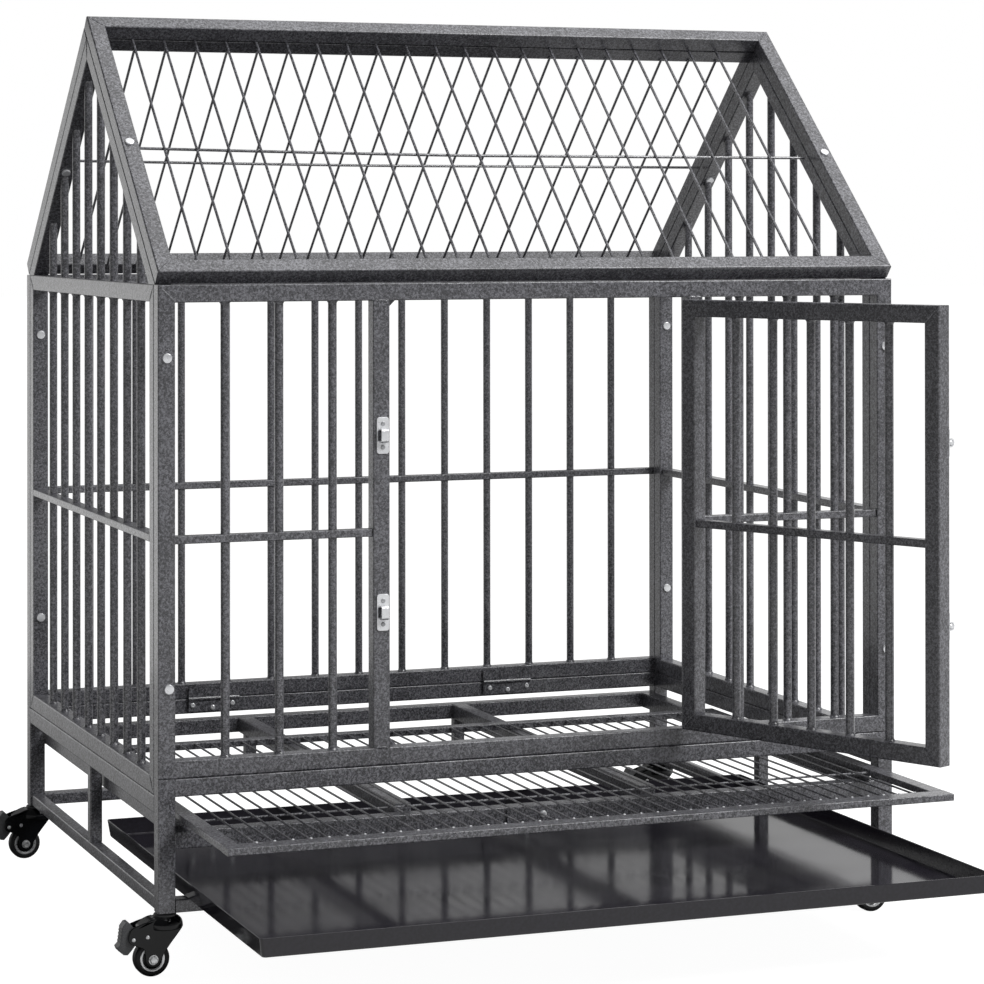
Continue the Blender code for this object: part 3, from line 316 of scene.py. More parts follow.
def bar(start, end, radius=BAR_RADIUS, steps=20, flare=0.28, reach=0.0016):
    """Round bar, swollen where it is welded: radius (1 + flare exp(-(d / reach)^2)) at d from an end."""
    start, end = np.asarray(start, float), np.asarray(end, float)
    length = np.linalg.norm(end - start)
    near = np.array((0, 0.6, 1.1, 1.7, 2.4, 3.4)) * 0.001
    along = np.concatenate((near, length - near[::-1])) if flare else np.array((0, length))
    distance = np.minimum(along, length - along)
    growth = 1 + flare * np.exp(-(distance / reach) ** 2)
    path = start + (end - start) * (along / length)[:, None]
    side = (0, 0, 1) if abs(end - start)[2] < length / 2 else (1, 0, 0)
    return carried(circle(radius, steps), path, side, growth)


def bead(start, end, up, width=0.0026, height=0.0006, seed=0):
    """Weld bead: a flat ellipse carried from start to end, tapered by sin(pi t)^0.3 and rippled."""
    start, end = np.asarray(start, float), np.asarray(end, float)
    t = np.linspace(0.03, 0.97, 17)
    noise = np.random.default_rng(seed)
    sway = np.cross(end - start, up)
    sway /= np.linalg.norm(sway)
    path = start + (end - start) * t[:, None] + sway * (noise.normal(0, width / 14, 17))[:, None]
    growth = np.sin(math.pi * t) ** 0.3 * (1 + 0.16 * np.sin(np.arange(17) * 2.4 + seed))
    return carried(circle(1.0, 10) * (height, width / 2), path, up, growth)


def screw_head(place, radius, height):
    """Pan head with a socket, on a front face."""
    profile = [(0, 0), (radius, 0), (radius, height * 0.45), (radius * 0.93, height * 0.78),
               (radius * 0.74, height), (radius * 0.42, height), (radius * 0.36, height * 0.75),
               (0, height * 0.75)]
    return placed(turned(profile, 24), STAND, place)


def bolt_head(place, turn=STAND, radius=0.0055, height=0.0025):
    """Plain flat round head with a rounded rim, on a face that looks along local z."""
    profile = [(0, 0), (radius, 0), (radius, height * 0.6), (radius * 0.96, height * 0.88),
               (radius * 0.87, height), (0, height)]
    return placed(turned(profile, 28), turn, place)


# Finishes

def linear(code):
    """An sRGB hex colour as linear red, green, blue and alpha."""
    values = [int(code[i:i + 2], 16) / 255 for i in (1, 3, 5)]
    return tuple(v / 12.92 if v <= 0.04045 else ((v + 0.055) / 1.055) ** 2.4 for v in values) + (1,)


def fill(tree, node, inputs):
    """Give each of a node's sockets a value, or a link from another socket."""
    for socket, value in inputs.items():
        if isinstance(value, bpy.types.NodeSocket):
            tree.links.new(value, node.inputs[socket])
        else:
            node.inputs[socket].default_value = value


def add(tree, kind, inputs=None, **settings):
    """Add one node with its inputs and its own settings."""
    node = tree.nodes.new("ShaderNode" + kind)
    for key, value in settings.items():
        setattr(node, key, value)
    fill(tree, node, inputs or {})
    return node


def worked(tree, operation, *values):
    return add(tree, "Math", dict(enumerate(values)), operation=operation).outputs[0]


def graded(tree, value, start, end, low, high):
    """A value that runs from low to high as the given one runs from start to end."""
    return add(tree, "MapRange", {0: value, 1: start, 2: end, 3: low, 4: high}).outputs[0]


def noise(tree, size, detail, **more):
    """Noise over the piece, with features of about the given size."""
    place = add(tree, "TexCoord").outputs["Object"]
    inputs = {"Vector": place, "Scale": 1 / size, "Detail": detail, **more}
    return add(tree, "TexNoise", inputs).outputs[0]


def relief(tree, height, strength, distance):
    return add(tree, "Bump", {"Height": height, "Strength": strength, "Distance": distance}).outputs[0]


def ramp(tree, factor, stops):
    node = add(tree, "ValToRGB", {0: factor})
    elements = node.color_ramp.elements
    while len(elements) < len(stops):
        elements.new(0.5)
    for element, (position, code) in zip(elements, stops):
        element.position, element.color = position, linear(code)
    return node.outputs[0]


def material(name):
    """A new material with an empty tree but for its shader. Returns material, tree and shader."""
    made = bpy.data.materials.new(name)
    made.use_nodes = True
    tree = made.node_tree
    return made, tree, tree.nodes["Principled BSDF"]


def hammered_coat():
    """Hammer-finish powder coat on steel: silver flakes float in a dark film that draws into
    veined pools 2 mm across under a clear skin, so it is mottled head on and evenly light at a
    low angle."""
    made, tree, shader = material("hammered_powder_coat")
    pools = noise(tree, 0.0026, 2.0, Roughness=0.55, Distortion=0.9)
    shifted = worked(tree, "MULTIPLY_ADD", noise(tree, 0.050, 2.0), 0.2, pools)
    shades = ((0.47, "#2a2a2e"), (0.60, "#525257"), (0.72, "#7c7c82"))
    fill(tree, shader, {"Base Color": ramp(tree, shifted, shades),
                        "Roughness": graded(tree, pools, 0.3, 0.7, 0.55, 0.4),
                        "Normal": relief(tree, pools, 0.3, 0.0003),
                        "IOR": 1.5, "Coat Weight": 0.8, "Coat Roughness": 0.2})
    return made


def tray_enamel():
    """Baked dark enamel on pressed sheet: glossy, cool in tone and finely dusty."""
    made, tree, shader = material("tray_enamel")
    wave, dust = noise(tree, 0.090, 1.0), noise(tree, 0.004, 4.0)
    fill(tree, shader, {"Base Color": ramp(tree, dust, ((0.35, "#28262c"), (0.7, "#2f2d35"))),
                        "Roughness": graded(tree, wave, 0.3, 0.7, 0.07, 0.12),
                        "Normal": relief(tree, wave, 0.35, 0.0005), "IOR": 1.42})
    return made


def bright_zinc():
    """Bright zinc plating with a satin bloom, a little uneven in its gloss."""
    made, tree, shader = material("bright_zinc")
    cloud = noise(tree, 0.006, 2.0)
    fill(tree, shader, {"Base Color": ramp(tree, cloud, ((0.3, "#e4e5e8"), (0.7, "#f4f5f7"))),
                        "Roughness": graded(tree, cloud, 0.3, 0.7, 0.26, 0.34), "Metallic": 0.45})
    return made


def plain_finish(name, dark, light, grain, rough, metallic=0.0, bump=0.0001, ior=1.5):
    """Coated or moulded finish with a fine grain between two near shades."""
    made, tree, shader = material(name)
    speck = noise(tree, grain, 3.0)
    fill(tree, shader, {"Base Color": ramp(tree, speck, ((0.35, dark), (0.65, light))),
                        "Roughness": graded(tree, speck, 0.3, 0.7, rough - 0.06, rough + 0.06),
                        "Normal": relief(tree, speck, 0.3, bump), "Metallic": metallic, "IOR": ior})
    return made


# Each finish with its slot
COAT = hammered_coat(), "hammered_coat"
ENAMEL = tray_enamel(), "tray_enamel"
ZINC = bright_zinc(), "zinc"
# Satin black paint on pressed steel hinges and stems
BLACK_STEEL = plain_finish("satin_black_steel", "#1c1c1e", "#29292b", 0.0012, 0.42), "black_steel"
# Injection-moulded nylon: black and glossy for the caster's fork, grey and matt for its pedal
BLACK_NYLON = plain_finish("moulded_black_nylon", "#0b0c0e", "#101114", 0.0030, 0.16,
                           ior=1.33), "black_nylon"
GREY_NYLON = plain_finish("moulded_grey_nylon", "#48494b", "#606163", 0.0009, 0.45,
                          bump=0.0002), "grey_nylon"
# Nickel-plated pressings and bolts of the casters, pale and satin
NICKEL = plain_finish("satin_nickel_plating", "#d6d7d9", "#ecedee", 0.0030, 0.3,
                      metallic=0.8), "zinc"
# Screw steel in a darker grey than the zinc plates the screws hold: painted shade of the dimples they
# sit in
DIMPLE_SHADED_SCREW_STEEL = plain_finish("dull_screw_steel", "#a4a5a8", "#b8b9bc", 0.0008, 0.4,
                           metallic=0.5), "zinc"
# Thermoplastic rubber tyre: dull black with a soft sheen
RUBBER = plain_finish("rubber_tyre", "#161617", "#202022", 0.0010, 0.58), "tyre_rubber"


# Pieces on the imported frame

def crate_zero():
    """The crate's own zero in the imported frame, from the front panel's box."""
    low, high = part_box("front_panel")
    return np.array(((low[0] + high[0]) / 2, low[1] + DEPTH / 2, low[2]))


ZERO = crate_zero()


def shown(name, data):
    """A new object in the scene."""
    made = bpy.data.objects.new(name, data)
    bpy.context.scene.collection.objects.link(made)
    return made


def build(name, body, finish, forms, nodes=()):
    """One piece from its forms, riding on a body and standing for the CAD nodes named."""
    made, slot = finish
    points, faces = joined(forms)
    mesh = bpy.data.meshes.new(name)
    mesh.from_pydata((points + ZERO).tolist(), [], [row for face in faces for row in face.tolist()])
    mesh.materials.append(made)
    mesh.shade_smooth()
    mesh.set_sharp_from_angle(angle=SHARP_ANGLE)
    piece = shown(name, mesh)
    piece.modifiers.new("flat_faces", "WEIGHTED_NORMAL").keep_sharp = True
    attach(piece, body)
    if nodes:
        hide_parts(*nodes)


def frame_ring(x0, y0, x1, y1, seed, z=0.0):
    """Four mitred tubes round a rectangle in the local xy plane, with a weld on each mitre."""
    half = TUBE / 2
    x = np.array((x0 + half, x1 - half, x1 - half, x0 + half))
    y = np.array((y0 + half, y0 + half, y1 - half, y1 - half))
    corners = np.column_stack((x, y, np.full(4, z)))
    forms = []
    for k in range(4):
        start, end = corners[k], corners[(k + 1) % 4]
        inward = np.cross((0, 0, 1), end - start)
        forms.append(tube(start, end, inward, start_cut=1, end_cut=-1))
        diagonal = np.array((np.sign(x.mean() - start[0]), np.sign(y.mean() - start[1]), 0))
        for face in (1, -1):
            lift = np.array((0, 0, face * half))
            inner_end = start + diagonal * half * 0.95 + lift
            outer_end = start - diagonal * half * 0.55 + lift
            forms.append(bead(inner_end, outer_end, (0, 0, 1), seed=seed + k + face))
    return forms


def mid_rail(x0, x1, level=MID_RAIL_LEVEL, inner=MID_RAIL_DEPTH / 2, outer=MID_RAIL_DEPTH / 2):
    z = (outer - inner) / 2
    return tube((x0, level, z), (x1, level, z), (0, 1, 0), (MID_RAIL_HEIGHT, inner + outer),
                corner=0.0012)


def uprights(places, low, high):
    return [bar((x, low, 0), (x, high, 0)) for x in places]


def post(x, low, high, size=TUBE):
    return tube((x, low, 0), (x, high, 0), (1, 0, 0), (size, size))


def butt_weld(x, y, half, seed):
    """Bead across a butted post's end, on its front face."""
    return bead((x - half, y, TUBE / 2), (x + half, y, TUBE / 2), (0, 0, 1), seed=seed)


def front_panel():
    inner = HALF_WIDTH - TUBE
    low, high = TUBE, BODY_HEIGHT - TUBE
    forms = frame_ring(-HALF_WIDTH, 0, HALF_WIDTH, BODY_HEIGHT, seed=1)
    for way in (-1, 1):
        x = way * (OPENING_HALF + TUBE / 2)
        forms += [post(x, low, high), butt_weld(x, low, TUBE * 0.4, 8 + way),
                  butt_weld(x, high, TUBE * 0.45, 10 + way)]
    left = -inner + FRONT_LEFT_MARGIN + FRONT_BAR_STEPS
    right = inner - FRONT_RIGHT_MARGIN - FRONT_BAR_STEPS
    forms += uprights(np.concatenate((left, right)), low, high)
    door_post = OPENING_HALF + TUBE
    forms += [mid_rail(-inner, -door_post), mid_rail(door_post, inner)]
    leg, sheet, lap = 0.014, 0.003, 0.0005
    for corner, way in ((low, 1), (high, -1)):
        outline = [(-OPENING_HALF - lap, corner - way * lap),
                   (-OPENING_HALF + leg, corner - way * lap), (-OPENING_HALF - lap, corner + way * leg)]
        stop = slab(outline[::way], sheet, 0.0006)
        forms.append(placed(stop, place=(0, 0, -TUBE / 2 + 0.0002 - sheet / 2)))
    return [placed(form, STAND, (0, FRONT + TUBE / 2, 0)) for form in forms]


def back_panel():
    inner = HALF_WIDTH - TUBE
    low, high = SIDE_SEAM + TUBE, BODY_HEIGHT - TUBE
    forms = frame_ring(-HALF_WIDTH, SIDE_SEAM, HALF_WIDTH, BODY_HEIGHT, seed=11)
    places = -inner + 2 * inner / (BACK_BARS + 1) * np.arange(1, BACK_BARS + 1)
    forms += uprights(places, low, high)
    forms.append(mid_rail(-inner, inner))
    return [placed(form, STAND, (0, BACK - TUBE / 2, 0)) for form in forms]


def side_panel(way):
    """A side with its gable: a frame, eight bars, two sloping tubes and their shorter bars."""
    inner = SIDE_REACH - TUBE
    low, high = SIDE_SEAM + TUBE, BODY_HEIGHT - TUBE
    forms = frame_ring(-SIDE_REACH, SIDE_SEAM, SIDE_REACH, BODY_HEIGHT + GAP, seed=21)
    forms += uprights(SIDE_BARS, low, high)
    under = GABLE_APEX_Z - TUBE / PITCH_COS
    sink = BAR_RADIUS * PITCH_TAN
    forms += [bar((y, BODY_HEIGHT - 0.001, 0), (y, under - abs(y) * PITCH_TAN + sink, 0), flare=0.12)
              for y in SIDE_BARS]
    middle = GABLE_APEX_Z - TUBE / 2 / PITCH_COS
    foot = (middle - BODY_HEIGHT) / PITCH_TAN
    for end in (-1, 1):
        forms.append(tube((end * foot, BODY_HEIGHT, 0), (0, middle, 0), (end * PITCH_SIN, PITCH_COS, 0),
                          start_cut=-1 / PITCH_TAN, end_cut=PITCH_TAN))
    for face in (-1, 1):
        top = np.array((0, GABLE_APEX_Z - 0.001, face * TUBE / 2))
        forms.append(bead(top, top - (0, TUBE / PITCH_COS * 0.9, 0), (0, 0, 1), seed=31 + face))
    flush, inside = TUBE / 2, MID_RAIL_DEPTH / 2
    reach = (inside, flush) if way > 0 else (flush, inside)
    forms.append(mid_rail(-inner, inner, MID_RAIL_LEVEL, *reach))
    return [placed(form, SIDEWAYS, (way * POST_X, 0, 0)) for form in forms]


def roof_panel(length, seed, shift, bend):
    """A mitred roof frame with wires up the slope and one across them, welded under its inner face.
    The cross wire rises by bend (x / reach)^1.3 toward -x, or toward +x for a bend below 0."""
    inner = HALF_WIDTH - TUBE
    forms = frame_ring(-HALF_WIDTH, 0, HALF_WIDTH, length, z=-TUBE / 2, seed=seed)
    under = -TUBE - WIRE_RADIUS * 0.75
    low, high = TUBE - EAVE_LAP, length - TUBE + RIDGE_LAP
    for x in shift + ROOF_WIRE_PITCH * (np.arange(ROOF_WIRES) - (ROOF_WIRES - 1) / 2):
        forms.append(bar((x, low, under), (x, high, under), WIRE_RADIUS, 8, 0))
    reach = inner - CROSS_WIRE_MARGIN
    lower = under - WIRE_RADIUS * 1.6
    x = np.linspace(-reach, reach, 41)
    rise = abs(bend) * np.clip(-np.sign(bend) * x / reach, 0, 1) ** 1.3
    path = np.column_stack((x, length / 2 + rise, np.full(len(x), lower)))
    forms.append(carried(circle(WIRE_RADIUS, 8), path, (0, 0, 1)))
    return forms


def base_end_frame(third_top, top, posts, y, seed):
    """Legs and top rail mitred, a third rail, a thin foot rail and thin posts."""
    inner, half = HALF_WIDTH - TUBE, TUBE / 2
    foot, foot_top = LEG_FOOT + THIN_TUBE / 2, LEG_FOOT + THIN_TUBE
    forms = [tube((-inner, top - half, 0), (inner, top - half, 0), (0, 1, 0)),
             tube((-inner, third_top - half, 0), (inner, third_top - half, 0), (0, 1, 0)),
             tube((-inner, foot, 0), (inner, foot, 0), (0, 1, 0), (THIN_TUBE, TUBE))]
    for way in (-1, 1):
        forms.append(tube((way * POST_X, LEG_FOOT, 0), (way * POST_X, top, 0), (1, 0, 0)))
        for level in (top - half, third_top - half):
            x = way * inner
            forms.append(bead((x, level - half * 0.8, half), (x, level + half * 0.8, half), (0, 0, 1),
                              width=0.0018, height=0.0004, seed=seed + way))
    forms += [post(x, foot_top, third_top - TUBE, THIN_TUBE) for x in posts]
    return [placed(form, STAND, (0, y, 0)) for form in forms]


def base_side_frame(way):
    foot = LEG_FOOT + THIN_TUBE / 2
    rail = BASE_TOP - TUBE / 2
    forms = [tube((-SIDE_REACH, rail, 0), (SIDE_REACH, rail, 0), (0, 1, 0)),
             tube((-SIDE_REACH, foot, 0), (SIDE_REACH, foot, 0), (0, 1, 0), (THIN_TUBE, THIN_TUBE)),
             post(0, LEG_FOOT + THIN_TUBE, BASE_TOP - TUBE, THIN_TUBE)]
    return [placed(form, SIDEWAYS, (way * POST_X, 0, 0)) for form in forms]


def shelf_tube(x):
    level = GRID_LEVEL - GAP - TUBE / 2
    return [tube((x, -SIDE_REACH, level), (x, SIDE_REACH, level), (1, 0, 0))]


def on_door(forms, place=(0, 0, 0)):
    """Turn forms, worked out about the closed door's hinge axis, to the open door."""
    turn = about("z", DOOR_OPEN_ANGLE)
    return [placed(form, turn, turn @ np.array(place) + HINGE_PLACE) for form in forms]


def door_frame():
    near, far = HINGE_OUT, HINGE_OUT + DOOR_WIDTH
    inner_near, inner_far = near + TUBE, far - TUBE
    forms = frame_ring(-far, 0, -near, DOOR_HEIGHT, seed=41)
    places = -inner_near - (inner_far - inner_near) / (DOOR_BARS + 1) * np.arange(1, DOOR_BARS + 1)
    forms += uprights(places, TUBE, DOOR_HEIGHT - TUBE)
    forms.append(mid_rail(-inner_far, -inner_near, MID_RAIL_LEVEL - TUBE - DOOR_END_GAP))
    place = (0, HINGE_OUT - DOOR_PROUD + TUBE / 2, 0)
    return on_door([placed(form, STAND, place) for form in forms], (0, 0, TUBE + DOOR_END_GAP))


def grid_wires():
    """Where the grid's close wires lie along x, and the level of their axes."""
    inner = GRID_HALF - GRID_EDGE
    places = -inner + 2 * inner / (GRID_WIRES + 1) * np.arange(1, GRID_WIRES + 1)
    return places, GRID_HEIGHT - GRID_WIRE_SET - GRID_WIRE_RADIUS


def floor_grid():
    """Flat frame of four bars with close wires from front to back over a few cross wires."""
    inner, back = GRID_HALF - GRID_EDGE, GRID_DEPTH - GRID_EDGE
    middle, side_x = GRID_HEIGHT / 2, GRID_HALF - GRID_EDGE / 2
    front_y, back_y = GRID_RAIL / 2, back + GRID_EDGE / 2
    rails = (((-GRID_HALF, front_y), (GRID_HALF, front_y), (0, 1, 0), GRID_RAIL),
             ((-inner, back_y), (inner, back_y), (0, 1, 0), GRID_EDGE),
             ((-side_x, GRID_RAIL), (-side_x, GRID_DEPTH), (1, 0, 0), GRID_EDGE),
             ((side_x, GRID_RAIL), (side_x, GRID_DEPTH), (1, 0, 0), GRID_EDGE))
    forms = [tube((*first, middle), (*last, middle), across, (width, GRID_HEIGHT), corner=GRID_CORNER)
             for first, last, across, width in rails]
    places, level = grid_wires()
    start, end, side = GRID_RAIL - GRID_WELD_LAP, back + GRID_WELD_LAP, inner + GRID_WELD_LAP
    forms += [bar((x, start, level), (x, end, level), GRID_WIRE_RADIUS, 8) for x in places]
    low = level - 2 * GRID_WIRE_RADIUS
    for step in np.arange(1, GRID_CROSSES + 1) / (GRID_CROSSES + 1):
        y = GRID_RAIL + (back - GRID_RAIL) * step
        forms.append(bar((-side, y, low), (side, y, low), GRID_WIRE_RADIUS, 8))
    return [placed(form, place=(0, FRONT - GRID_PULL, GRID_LEVEL)) for form in forms]


def grid_wire_welds():
    """Weld nugget at each close wire's front end, on the front rail's inner edge, in bright zinc:
    painted highlights where the wire ends glint.
    """
    profile = [(0, -0.0004), (0.0016, -0.0004), (0.0015, 0.0003), (0.0009, 0.0008), (0, 0.0010)]
    dome = turned(profile, 12)
    return [placed(dome, place=(x, FRONT - GRID_PULL + GRID_RAIL - 0.0012, GRID_LEVEL + GRID_HEIGHT))
            for x in grid_wires()[0]]


def tray():
    """Pressed tray: rounded rectangles stepped in by the first value at the height of the second,
    up the sloping outer wall, over the plain rim and down to the floor."""
    steps = np.array(((5.4, 0.0), (4.2, 0.25), (3.4, 1.0), (2.9, 2.2), (0.1, 20.3), (0.1, 20.7),
                      (0.4, 21.0), (1.1, 21.0), (1.5, 20.7), (1.6, 20.3), (4.1, 4.0), (4.4, 2.7),
                      (5.2, 1.8), (6.6, 1.5), (9.0, 1.5))) * 0.001
    base = rounded(TRAY_HALF, TRAY_DEPTH / 2, 0.004, 6)
    rows = [np.column_stack((base - np.sign(base) * step, np.full(len(base), z))) for step, z in steps]
    form = lattice(np.array(rows), caps=True)
    return [placed(form, place=(0, FRONT - TRAY_PULL + TRAY_DEPTH / 2, TRAY_LEVEL))]


def turn_catch():
    plate = slab(rounded(CATCH_HALF, CATCH_HALF_HEIGHT, CATCH_CORNER), CATCH_PLATE, 0.0005)
    return [placed(plate, STAND, (0, FRONT - GAP - CATCH_PLATE / 2, CATCH_LEVEL))]


def catch_bolt():
    """Low domed bolt head over the catch, with a socket."""
    profile = [(0, -0.0135), (0.0025, -0.0135), (0.0025, 0), (0.0042, 0), (0.0042, 0.0010),
               (0.0038, 0.0018), (0.0028, 0.0023), (0.0018, 0.0023), (0.0016, 0.0010), (0, 0.0010)]
    return [placed(turned(profile, 28), STAND, (0, FRONT - GAP - 0.0032, CATCH_LEVEL))]


def arch(inner, outer, x0, x1, low=0.0, high=math.pi):
    """A curved wall carried along x: (cos a, sin a) from low to high at the outer radius and back
    at the inner one, standing out along -y."""
    angle = np.linspace(low, high, 13)
    out = outer * np.stack((np.cos(angle), np.sin(angle)), -1)
    back = inner * np.stack((np.cos(angle[::-1]), np.sin(angle[::-1])), -1)
    z, y = np.vstack((out, back)).T
    ring = np.column_stack((np.zeros(len(y)), -y, z))
    rows = np.stack((ring + (x0, 0, 0), ring + (x1, 0, 0)))
    return lattice(rows, caps=True)


def latch_housing(level):
    """Plate with a rolled sleeve for the bolt, slotted for its handle, and four screws."""
    half = LATCH_WIDTH / 2
    plate = placed(slab(rounded(half, LATCH_HEIGHT / 2, 0.0036), LATCH_PLATE, 0.0004), STAND,
                   (0, -GAP - LATCH_PLATE / 2, 0))
    inside, outside = BOLT_RADIUS + GAP, BOLT_RADIUS + GAP + HOUSING_WALL
    bridge, slot = -half + HOUSING_WALL, SLEEVE_SLOT
    sleeve = [arch(inside, outside, -half, bridge),
              arch(inside, outside, bridge, half, 0, math.pi / 2 - slot),
              arch(inside, outside, bridge, half, math.pi / 2 + slot, math.pi)]
    forms = [plate] + [placed(form, place=(0, -BOLT_AXIS, 0)) for form in sleeve]
    wall_outline = [(-half, 0), (half, 0), (half, 0.0033), (-half, 0.0033)]
    wall = slab(wall_outline, HOUSING_WALL, 0.0003)
    for way in (-1, 1):
        forms.append(placed(wall, about("x", math.pi), (0, -0.0018, way * (inside + HOUSING_WALL / 2))))
    stile_x = -HINGE_OUT - DOOR_WIDTH + TUBE / 2
    heads = [screw_head((x, -GAP - LATCH_PLATE, z), 0.0021, 0.0013) for x, z in LATCH_SCREWS]
    place = (stile_x, HINGE_OUT - DOOR_PROUD, LATCH_LEVELS[level])
    return on_door(forms, place), on_door(heads, place)


def latch_bolt(level):
    """Chamfered sliding rod with a stemmed, domed knob."""
    tip, tail = -0.0095, LATCH_WIDTH / 2
    radius = BOLT_RADIUS
    rod = turned([(0, tip), (radius * 0.7, tip), (radius, tip + 0.0008), (radius, tail - 0.0005),
                  (radius * 0.8, tail), (0, tail)], 24)
    knob_x = tail - 0.0023
    stem = turned([(0, 0.001), (0.0019, 0.001), (0.0018, 0.0072), (0.0026, 0.0079), (0.0036, 0.0096),
                   (0.0036, 0.0112), (0.0027, 0.0124), (0.0012, 0.0129), (0, 0.013)], 24)
    forms = [placed(rod, about("y", math.pi / 2)), placed(stem, STAND, (knob_x, 0, 0))]
    stile_x = -HINGE_OUT - DOOR_WIDTH + TUBE / 2
    return on_door(forms, (stile_x, HINGE_OUT - DOOR_PROUD - BOLT_AXIS, LATCH_LEVELS[level]))


def keeper(level):
    """Plate with bowed ends and a pressed strap, open along x, two screws, and a thin sheet in the
    coat's colour under the strap: painted shade that darkens the strap's opening, shown as the post
    seen where the strap was pressed out. The ends bow out by cos(pi x / width) times half the corner."""
    outline = rounded(KEEPER_HALF, KEEPER_REACH, KEEPER_CORNER, 6)
    bow = KEEPER_CORNER / 2 * np.cos(outline[:, 0] / KEEPER_HALF * math.pi / 2)
    outline[:, 1] += np.sign(outline[:, 1]) * bow
    plate = placed(slab(outline, LATCH_PLATE, 0.0004), STAND, (0, -GAP - LATCH_PLATE / 2, 0))
    quarter = np.linspace(0, math.pi / 2, 6)
    y = np.concatenate(((-0.001,), -STRAP_OUT + STRAP_BEND - STRAP_BEND * np.sin(quarter)))
    z = np.concatenate(((0,), STRAP_BEND - STRAP_BEND * np.cos(quarter))) - STRAP_HALF_HEIGHT
    path = np.column_stack((np.zeros(2 * len(y)), np.concatenate((y, y[::-1])),
                            np.concatenate((z, -z[::-1]))))
    strap = carried(rounded(0.0045, 0.0008, 0.0005, 2), path, (1, 0, 0))
    # Painted shade: a thin sheet in the coat's colour under the strap darkens its opening
    painted_shade_sheet = placed(slab(rounded(0.0060, 0.0060, 0.0008, 3), 0.0002, 0.00005), STAND,
                    (0, -GAP - LATCH_PLATE, 0))
    place = (KEEPER_X, FRONT, LATCH_LEVELS[level])
    heads = [screw_head((0, -GAP - LATCH_PLATE, z), 0.0026, 0.0011)
             for z in (-KEEPER_SCREW_REACH, KEEPER_SCREW_REACH)]
    return [[placed(form, place=place) for form in forms]
            for forms in ((plate, strap), heads, (painted_shade_sheet,))]


# Casters

def cheek():
    """Side view of a fork cheek, softened, from the crown to the axle and the pedal's pin."""
    crown, top = CROWN_RADIUS, CROWN_TOP
    axle = [(-TRAIL + AXLE_EYE * math.cos(a), -AXLE_DROP + AXLE_EYE * math.sin(a))
            for a in np.radians((0, -36, -72, -108, -144, -180))]
    pin = [(-PIN_BACK + PIN_EYE * math.cos(a), -PIN_DROP + PIN_EYE * math.sin(a))
           for a in np.radians((270, 225, 180))]
    outline = ([(crown * 0.78, top - 0.004), (crown * 0.93, top - 0.009), (crown * 0.84, top - 0.0137),
                (-TRAIL + 0.0164, -AXLE_DROP * 0.75)] + axle
               + [(-TRAIL - 0.0086, -AXLE_DROP + 0.0118), (-PIN_BACK + 0.005, -PIN_DROP - 0.008)] + pin
               + [(-PIN_BACK - 0.004, -PIN_DROP + 0.011), (-PIN_BACK + 0.001, -PIN_DROP + 0.0145),
                  (-crown * 0.8, top - 0.002)])
    return softened(np.array(outline)[::-1], 3)


def fork():
    """Domed crown with a race groove, two cheeks, the hood between them and a stay."""
    top, low = CROWN_TOP, CROWN_LOW
    crown = turned([(0.0043, low), (0.0185, low), (0.0197, low + 0.001), (0.0200, low + 0.0025),
                    (0.0200, low + 0.0052), (0.0196, low + 0.0075), (0.0186, low + 0.0098),
                    (0.0170, top - 0.0020), (0.0146, top - 0.0006), (0.0138, top), (0.0132, top),
                    (0.0128, top - 0.0010), (0.0060, top - 0.0010), (0.0043, top - 0.0010)],
                   48, loop=True)
    forms = [crown]
    outline = cheek()
    for way in (-1, 1):
        forms.append(placed(slab(outline, CHEEK, 0.0008), STAND, (0, way * CHEEK_Y, 0)))
    hood = [(-0.012, top - 0.0010), (-0.0135, top - 0.0008), (-0.0195, top - 0.0022),
            (-0.0329, top - 0.0088), (-0.0335, top - 0.0112), (-0.0300, top - 0.0108),
            (-0.012, top - 0.0040)]
    forms.append(placed(slab(softened(hood, 2), 2 * CHEEK_Y + CHEEK, 0.0009), STAND))
    stay = turned([(0, -CHEEK_Y), (0.0016, -CHEEK_Y), (0.0016, CHEEK_Y), (0, CHEEK_Y)], 16)
    for x, z in ((-PIN_BACK, -PIN_DROP), STAY_PLACE):
        forms.append(placed(stay, STAND, (x, 0, z)))
    return forms


def rivets():
    """Domed rivet heads on both cheeks, at the pedal's pin and at the stay."""
    profile = [(0, 0), (0.0023, 0), (0.0022, 0.0004), (0.0016, 0.0009), (0.0008, 0.0012), (0, 0.0012)]
    dome = turned(profile, 20)
    forms = []
    for x, z in ((-PIN_BACK, -PIN_DROP), STAY_PLACE):
        forms.append(placed(dome, STAND, (x, -CHEEK_Y - CHEEK / 2, z)))
        forms.append(placed(dome, FACING_BACK, (x, CHEEK_Y + CHEEK / 2, z)))
    return forms


def axle():
    """Hexagon-headed bolt through the wheel, with a washer, and a nut at the far side."""
    seat = CHEEK_Y + CHEEK / 2 + 0.0002
    washer = turned([(0.0032, seat), (0.0054, seat), (0.0054, seat + 0.0006), (0.0032, seat + 0.0006)],
                    28, loop=True)
    head = turned([(0, seat + 0.0006), (0.0047, seat + 0.0006), (0.0047, seat + 0.0026),
                   (0.0038, seat + 0.0033), (0.0022, seat + 0.0031), (0, seat + 0.0029)], 6)
    shaft = turned([(0, -seat), (0.003, -seat), (0.003, seat), (0, seat)], 20)
    forms = [placed(form, STAND) for form in (washer, head, shaft)]
    return forms + [placed(form, FACING_BACK) for form in (washer, head)]


def tyre():
    """Tread crowned between two rounded shoulders."""
    shoulder = np.linspace(0, math.pi / 2, 6)
    radius, r = WHEEL_RADIUS, 0.0040
    outer = np.column_stack((radius - r + r * np.sin(shoulder), -WHEEL_HALF + r - r * np.cos(shoulder)))
    mirror = outer[::-1] * (1, -1)
    profile = np.vstack(((0.0148, -WHEEL_HALF), outer, mirror, (0.0148, WHEEL_HALF)))
    return [placed(turned(profile, 56, loop=True), STAND)]


